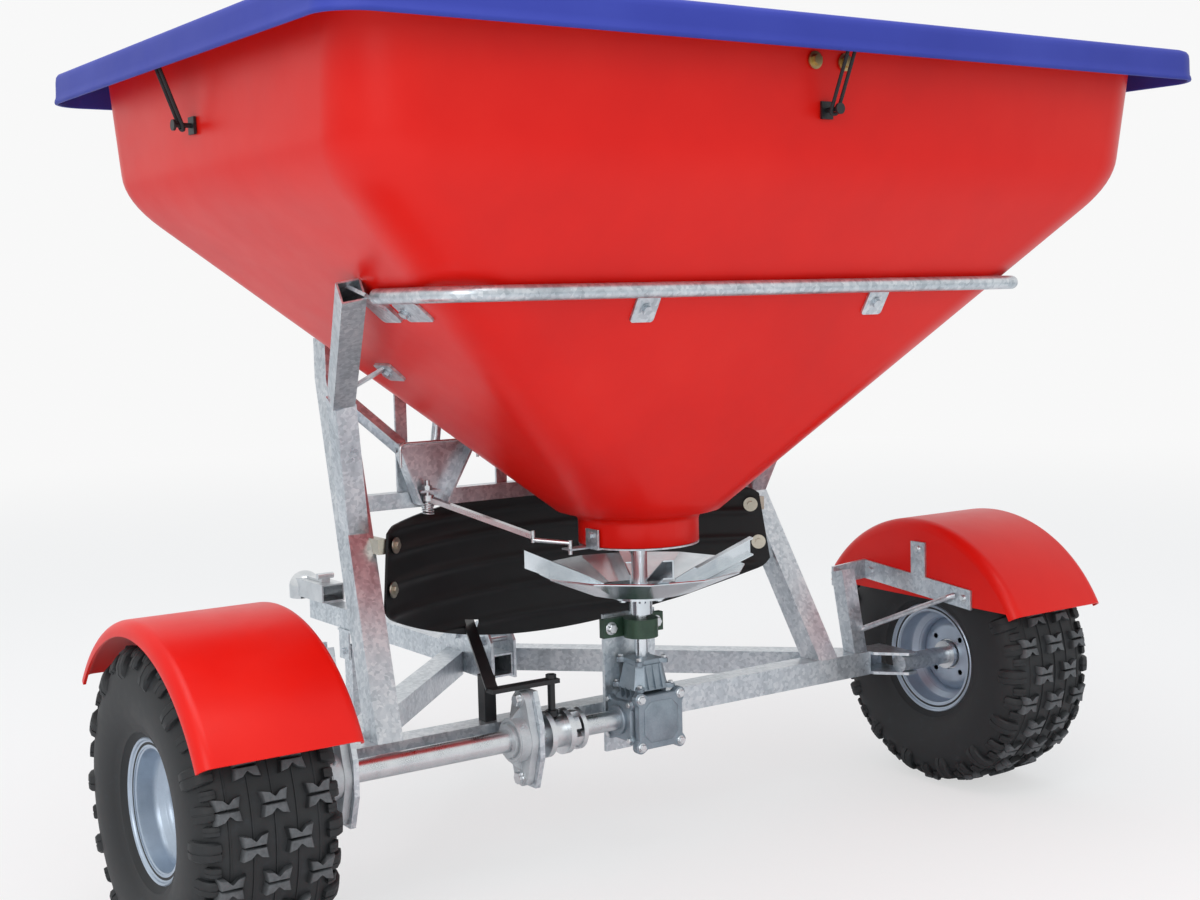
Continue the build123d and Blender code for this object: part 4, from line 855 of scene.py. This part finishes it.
# %% Gearbox case, rear cover and neck
CASE_X, COVER_X, CAP_X = 36.5, -46.5, -59.5
NECK_X, COLLAR_X, FOOT_X = -4.0, -2.0, -6.0
FOOT_Z, NECK_Z, COLLAR_Z, FIN_Z = 331.0, 332.0, 378.0, 334.0
COVER_DEPTH, COLLAR_DEPTH, FOOT_DEPTH = 13.0, 9.0, 8.0
case_steps = [(0, 0.96), (3, 1), (80, 1), (83, 0.98)]
neck_steps = [(0, 1.12), (10, 1.02), (46, 0.84)]
collar_steps = bevelled(COLLAR_DEPTH, 0.95)
foot_steps = bevelled(FOOT_DEPTH, 0.95)
cast_parts = [
    prism(lobed(47, 0, 1), case_steps, (CASE_X, 0, AXLE_Z), LEFT, BEHIND),
    prism(lobed(51, 45.5, 12.5), bevelled(COVER_DEPTH), (COVER_X, 0, AXLE_Z), LEFT, BEHIND),
    prism(lobed(39, 0, 1), bevelled(2.4, 0.94, 1.6), (CAP_X, 0, AXLE_Z), LEFT, BEHIND),
    prism(lobed(37, 0, 1), neck_steps, (NECK_X, 0, NECK_Z), AHEAD, UP),
    prism(lobed(30, 29, 8.5), collar_steps, (COLLAR_X, 0, COLLAR_Z), AHEAD, UP),
    prism(lobed(38, 36.5, 8.5), foot_steps, (FOOT_X, 0, FOOT_Z), AHEAD, UP),
]
print("case parts", len(cast_parts))

# %% Gearbox bolts, side flanges and fins
corners = [(1, 1), (-1, 1), (-1, -1), (1, -1)]
bolt_parts = []
for u, v in corners:
    on_cover = (CAP_X, 45.5 * u, AXLE_Z + 45.5 * v)
    on_collar = (COLLAR_X + 29 * u, 29 * v, COLLAR_Z + COLLAR_DEPTH)
    on_foot = (FOOT_X + 36.5 * u, 36.5 * v, FOOT_Z + FOOT_DEPTH)
    bolt_parts.append(hexagon_head(on_cover, BEHIND, 7.6, 6.5, 9.0))
    bolt_parts.append(hexagon_head(on_collar, UP, 5.4, 4.5))
    bolt_parts.append(hexagon_head(on_foot, UP, 5.4, 4.5))
for side in (1, -1):
    out = (0, side, 0)
    flange_at, boss_at = (NECK_X, side * 47, AXLE_Z), (0, side * 57, AXLE_Z)
    cast_parts.append(prism(lobed(37, 34, 9), bevelled(11, 0.96), flange_at, AHEAD, out))
    cast_parts.append(prism(round_outline(28), bevelled(7, 0.93), boss_at, AHEAD, out))
    for u, v in corners:
        place = (NECK_X + 34 * u, side * 58, AXLE_Z + 34 * v)
        bolt_parts.append(hexagon_head(place, out, 5.6, 4.6))
FIN_FOOT, FIN_TOP, FIN_WIDTH = (15, 0), (3, 44), 3.4
for shift in (-16, 0, 16):
    place = (-33, shift - FIN_WIDTH / 2, FIN_Z)
    cast_parts.append(rib(FIN_FOOT, FIN_TOP, FIN_WIDTH, LEFT, BEHIND, place))
    for side in (1, -1):
        place = (shift + NECK_X + side * FIN_WIDTH / 2, side * 29, FIN_Z)
        cast_parts.append(rib(FIN_FOOT, FIN_TOP, FIN_WIDTH, (-side, 0, 0), (0, side, 0), place))
gearbox = joined([outward(part) for part in cast_parts])
piece("gearbox_casting", gearbox, "gearbox", crease=30)

# %% [markdown]
# ## Bearing housings
#
# Both flange bearings of the shaft are castings. A bead runs round the seal,
# a web stiffens each ear and a grease nipple sits on the boss. The packed
# housings stay, and these details are laid on them.

# %% Bearing details
BEARING_Y = (262.3, 633.3)
bead_profile = [(33.7, 33.5), (35.6, 34), (36.2, 36.5), (35.6, 39), (33.7, 39.5)]
nipple_steps = [(0, 1), (4, 1), (5, 0.8), (8, 0.7), (9.5, 0.45)]
housing_parts = []
for base_y in BEARING_Y:
    housing_parts.append(turned(bead_profile, 64, base_y))
    place = (-29, base_y + 26, AXLE_Z + 29)
    housing_parts.append(prism(round_outline(3.4, 16), nipple_steps, place, LEFT, (-1, 0, 1)))
    for side in (1, -1):
        place = (side * 3.5, base_y + 13.5, AXLE_Z + side * 38)
        web = rib((21, 0), (4, 19.5), 7, (-side, 0, 0), (0, 0, side), place)
        housing_parts.append(web)
housing = joined([outward(part) for part in housing_parts])
grey = materials["cast_grey"]
piece("bearing_details", housing, "axle_bearing_inner", grey, stands_in=False)

# %% [markdown]
# ## Bolts
#
# The heads on the castings are zinc plated, not painted like what they hold. A
# head is a hexagon carried along its axis, and a smaller last ring is the
# chamfer. As one piece they share one material.

# %% Bolt heads
zinc = materials["zinc_plate"]
bracket_bolts = [(128, 458), (-20.5, 520), (-150, 431)]
for y in BEARING_Y:
    for side in (1, -1):
        place = (0, y + 14, AXLE_Z + side * 72)
        bolt_parts.append(hexagon_head(place, LEFT, 11.8, 9.8, 14.0))
for side in (1, -1):
    place = (22.7, side * 52.5, 445)
    bolt_parts.append(hexagon_head(place, BEHIND, 9.8, 9.0, 12.5))
for side in (1, -1):
    for x, z in bracket_bolts:
        place = (x, side * 716.2, z)
        bolt_parts.append(hexagon_head(place, (0, -side, 0), 5.8, 4.6, 8.0))
bolt_parts = joined([outward(part) for part in bolt_parts])
piece("bolt_heads", bolt_parts, "hopper_bolts", zinc, stands_in=False, crease=25)

# %% [markdown]
# ## Linkage details
#
# A bent wire runs along the top of the metering bracket and a coil spring sits
# by its arm. The coil is a helix, and one helper sweeps both.

# %% Wire and spring
WIRE_LEFT_Y, WIRE_RIGHT_Y, WIRE_BEND, WIRE_BEND_Z = 386.0, 220.0, 12.0, 796.0
wire_x = (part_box("cross_tube")[0].x - AXLE_X) * 1000 - 36.5
bow = np.linspace(0, pi / 2, 8)
to_side, to_top = WIRE_BEND * np.cos(bow), WIRE_BEND * np.sin(bow)
left_bow = np.c_[0 * bow, WIRE_LEFT_Y - WIRE_BEND + to_side, WIRE_BEND_Z + to_top]
right_bow = np.c_[0 * bow, WIRE_RIGHT_Y + WIRE_BEND - to_top, WIRE_BEND_Z + to_side]
wire = np.r_[[(0, WIRE_LEFT_Y, 764)], left_bow, right_bow, [(0, WIRE_RIGHT_Y, 772)]]
wire += np.array([wire_x, 0, 0])
SPRING_X, SPRING_Y, SPRING_TOP, SPRING_RADIUS, DROP_PER_RADIAN = 234, 322, 692, 10.6, 0.75
coil = np.linspace(0, 10 * pi, 160)
spring_x = SPRING_X + SPRING_RADIUS * np.cos(coil)
spring_y = SPRING_Y + SPRING_RADIUS * np.sin(coil)
spring = np.c_[spring_x, spring_y, SPRING_TOP - DROP_PER_RADIAN * coil]
linkage = joined([swept(wire, 2.6, AHEAD), swept(spring, 1.5, UP, 8)])
piece("linkage_wire_and_spring", linkage, "metering_arm", zinc, stands_in=False)

# %% [markdown]
# ## Disc
#
# The spinning disc is pressed from sheet. Its rim rises in flat facets, which
# catch the light one by one as it turns. A plain cone would be too smooth, so
# each ring's radius follows a twelve-sided outline.

# %% Disc
FACETS, DISC_Z = 12, 515


def disc_points():
    """Rings of a twelve-sided dish, out along the top and back below it."""
    a = np.arange(FACETS * 4) * 2 * pi / (FACETS * 4)
    half_angle = pi / FACETS
    bend = np.cos(half_angle) / np.cos((a % (2 * half_angle)) - half_angle)
    rows = [(15.1, 3, 0), (97, 3, 0), (101, 3.6, 0.6), (199, 44.6, 1), (201.5, 43.6, 1)]
    rows += [(201.5, 41.6, 1), (199.5, 41, 1), (102, 0.6, 0.6), (98, 0, 0), (15.1, 0, 0)]
    rings = []
    for r, z, share in rows:
        radius = r * (1 + share * (bend - 1))
        rings.append(np.stack([radius * np.cos(a), radius * np.sin(a), DISC_Z + z + 0 * a], -1))
    return shell(np.array(rings), closed=True)


piece("disc_pressing", disc_points(), "spinner_disc", crease=5)

# %% [markdown]
# ## Studio
#
# A pale floor and a white surround under broad soft lamps. The floor fades to
# the surround's white, so no horizon shows. The camera stands where the
# photograph was taken from, behind and to the left of the machine.

# %% Floor
bpy.context.scene.view_settings.view_transform = "Standard"
WHITE = (0.94, 0.94, 0.94, 1.0)
FLOOR_HALF = 30.0


def studio_floor():
    """Floor that fades to the surround's white between 2 and 9 m out."""
    mesh = bpy.data.meshes.new("studio_floor")
    low, high = -FLOOR_HALF, FLOOR_HALF
    ends = [(low, low, 0), (high, low, 0), (high, high, 0), (low, high, 0)]
    mesh.from_pydata(ends, [], [(0, 1, 2, 3)])
    floor = bpy.data.objects.new("studio_floor", mesh)
    bpy.context.scene.collection.objects.link(floor)
    material = bpy.data.materials.new("pale_floor")
    material.use_nodes = True
    tree = material.node_tree
    tree.nodes.clear()
    paint = add(tree, "BsdfDiffuse", {"Color": linear("#F4F4F4")})
    glow = add(tree, "Emission", {"Color": WHITE, "Strength": 1.0})
    seen = add(tree, "LightPath").outputs["Is Camera Ray"]
    place = add(tree, "TexCoord").outputs["Object"]
    reach = add(tree, "VectorMath", {0: place}, operation="LENGTH").outputs["Value"]
    fade = {"Value": reach, "From Min": 2.0, "From Max": 9.0, "To Min": 0.62, "To Max": 1.0}
    fade = add(tree, "MapRange", fade, interpolation_type="SMOOTHSTEP").outputs["Result"]
    share = add(tree, "Math", {0: seen, 1: fade}, operation="MULTIPLY").outputs[0]
    mix = add(tree, "MixShader", {0: share, 1: paint.outputs[0], 2: glow.outputs[0]})
    add(tree, "OutputMaterial", {"Surface": mix.outputs[0]})
    mesh.materials.append(material)


studio_floor()
print("floor", 2 * FLOOR_HALF, "m across")


# %% Surround and lamps
def studio_world():
    """Plain white to the camera and in reflections, and cooler as light."""
    world = bpy.data.worlds.new("studio_world")
    bpy.context.scene.world = world
    world.use_nodes = True
    tree = world.node_tree
    tree.nodes.clear()
    path = add(tree, "LightPath").outputs
    soft = add(tree, "Background", {"Color": (0.92, 0.96, 1.0, 1.0), "Strength": 0.75})
    white = add(tree, "Background", {"Color": WHITE, "Strength": 1.0})
    rays = {0: path["Is Camera Ray"], 1: path["Is Glossy Ray"]}
    clear = add(tree, "Math", rays, operation="MAXIMUM").outputs[0]
    mix = add(tree, "MixShader", {0: clear, 1: soft.outputs[0], 2: white.outputs[0]})
    add(tree, "OutputWorld", {"Surface": mix.outputs[0]})


def softbox(name, place, target, size, watts):
    """A rectangular lamp at a place, aimed at a target."""
    lamp = bpy.data.lights.new(name, "AREA")
    lamp.shape = "RECTANGLE"
    lamp.size, lamp.size_y = size
    lamp.energy = watts
    thing = bpy.data.objects.new(name, lamp)
    bpy.context.scene.collection.objects.link(thing)
    thing.location = place
    aim = Vector(target) - Vector(place)
    thing.rotation_euler = aim.to_track_quat("-Z", "Y").to_euler()


studio_world()
softbox("softbox_above", (-1.2, 0.8, 4.2), (-0.3, 0, 0.8), (3.0, 3.0), 90)
softbox("softbox_left", (-3.6, 3.4, 2.4), (-0.4, 0, 0.9), (2.2, 2.2), 46)
print("lamps", len(bpy.data.lights))

# %% Camera
YAW, PITCH, ROLL = radians(-34.61), radians(-5.18), radians(-1.395)
CAMERA_X, CAMERA_Y, CAMERA_Z = -2.556, 1.848, 1.070
FOCAL_PIXELS, PHOTO_PIXELS, SENSOR_MM = 1680.8, 1200.0, 36.0


def photo_camera():
    """The camera's axes from yaw, pitch and roll: ahead, right and up."""
    flat = np.cos(PITCH)
    ahead = Vector((flat * np.cos(YAW), flat * np.sin(YAW), np.sin(PITCH)))
    right = Vector((np.sin(YAW), -np.cos(YAW), 0.0))
    up = right.cross(ahead)
    turned_right = right * np.cos(ROLL) + up * np.sin(ROLL)
    turned_up = up * np.cos(ROLL) - right * np.sin(ROLL)
    camera = bpy.data.cameras.new("photo_camera")
    camera.sensor_fit = "HORIZONTAL"
    camera.sensor_width = SENSOR_MM
    camera.lens = SENSOR_MM * (FOCAL_PIXELS / PHOTO_PIXELS)
    thing = bpy.data.objects.new("photo_camera", camera)
    bpy.context.scene.collection.objects.link(thing)
    basis = Matrix((turned_right, turned_up, -ahead)).transposed()
    place = Matrix.Translation((CAMERA_X + AXLE_X, CAMERA_Y, CAMERA_Z))
    thing.matrix_world = place @ basis.to_4x4()
    bpy.context.scene.camera = thing
    return camera.lens


print("lens", round(photo_camera(), 2), "mm")
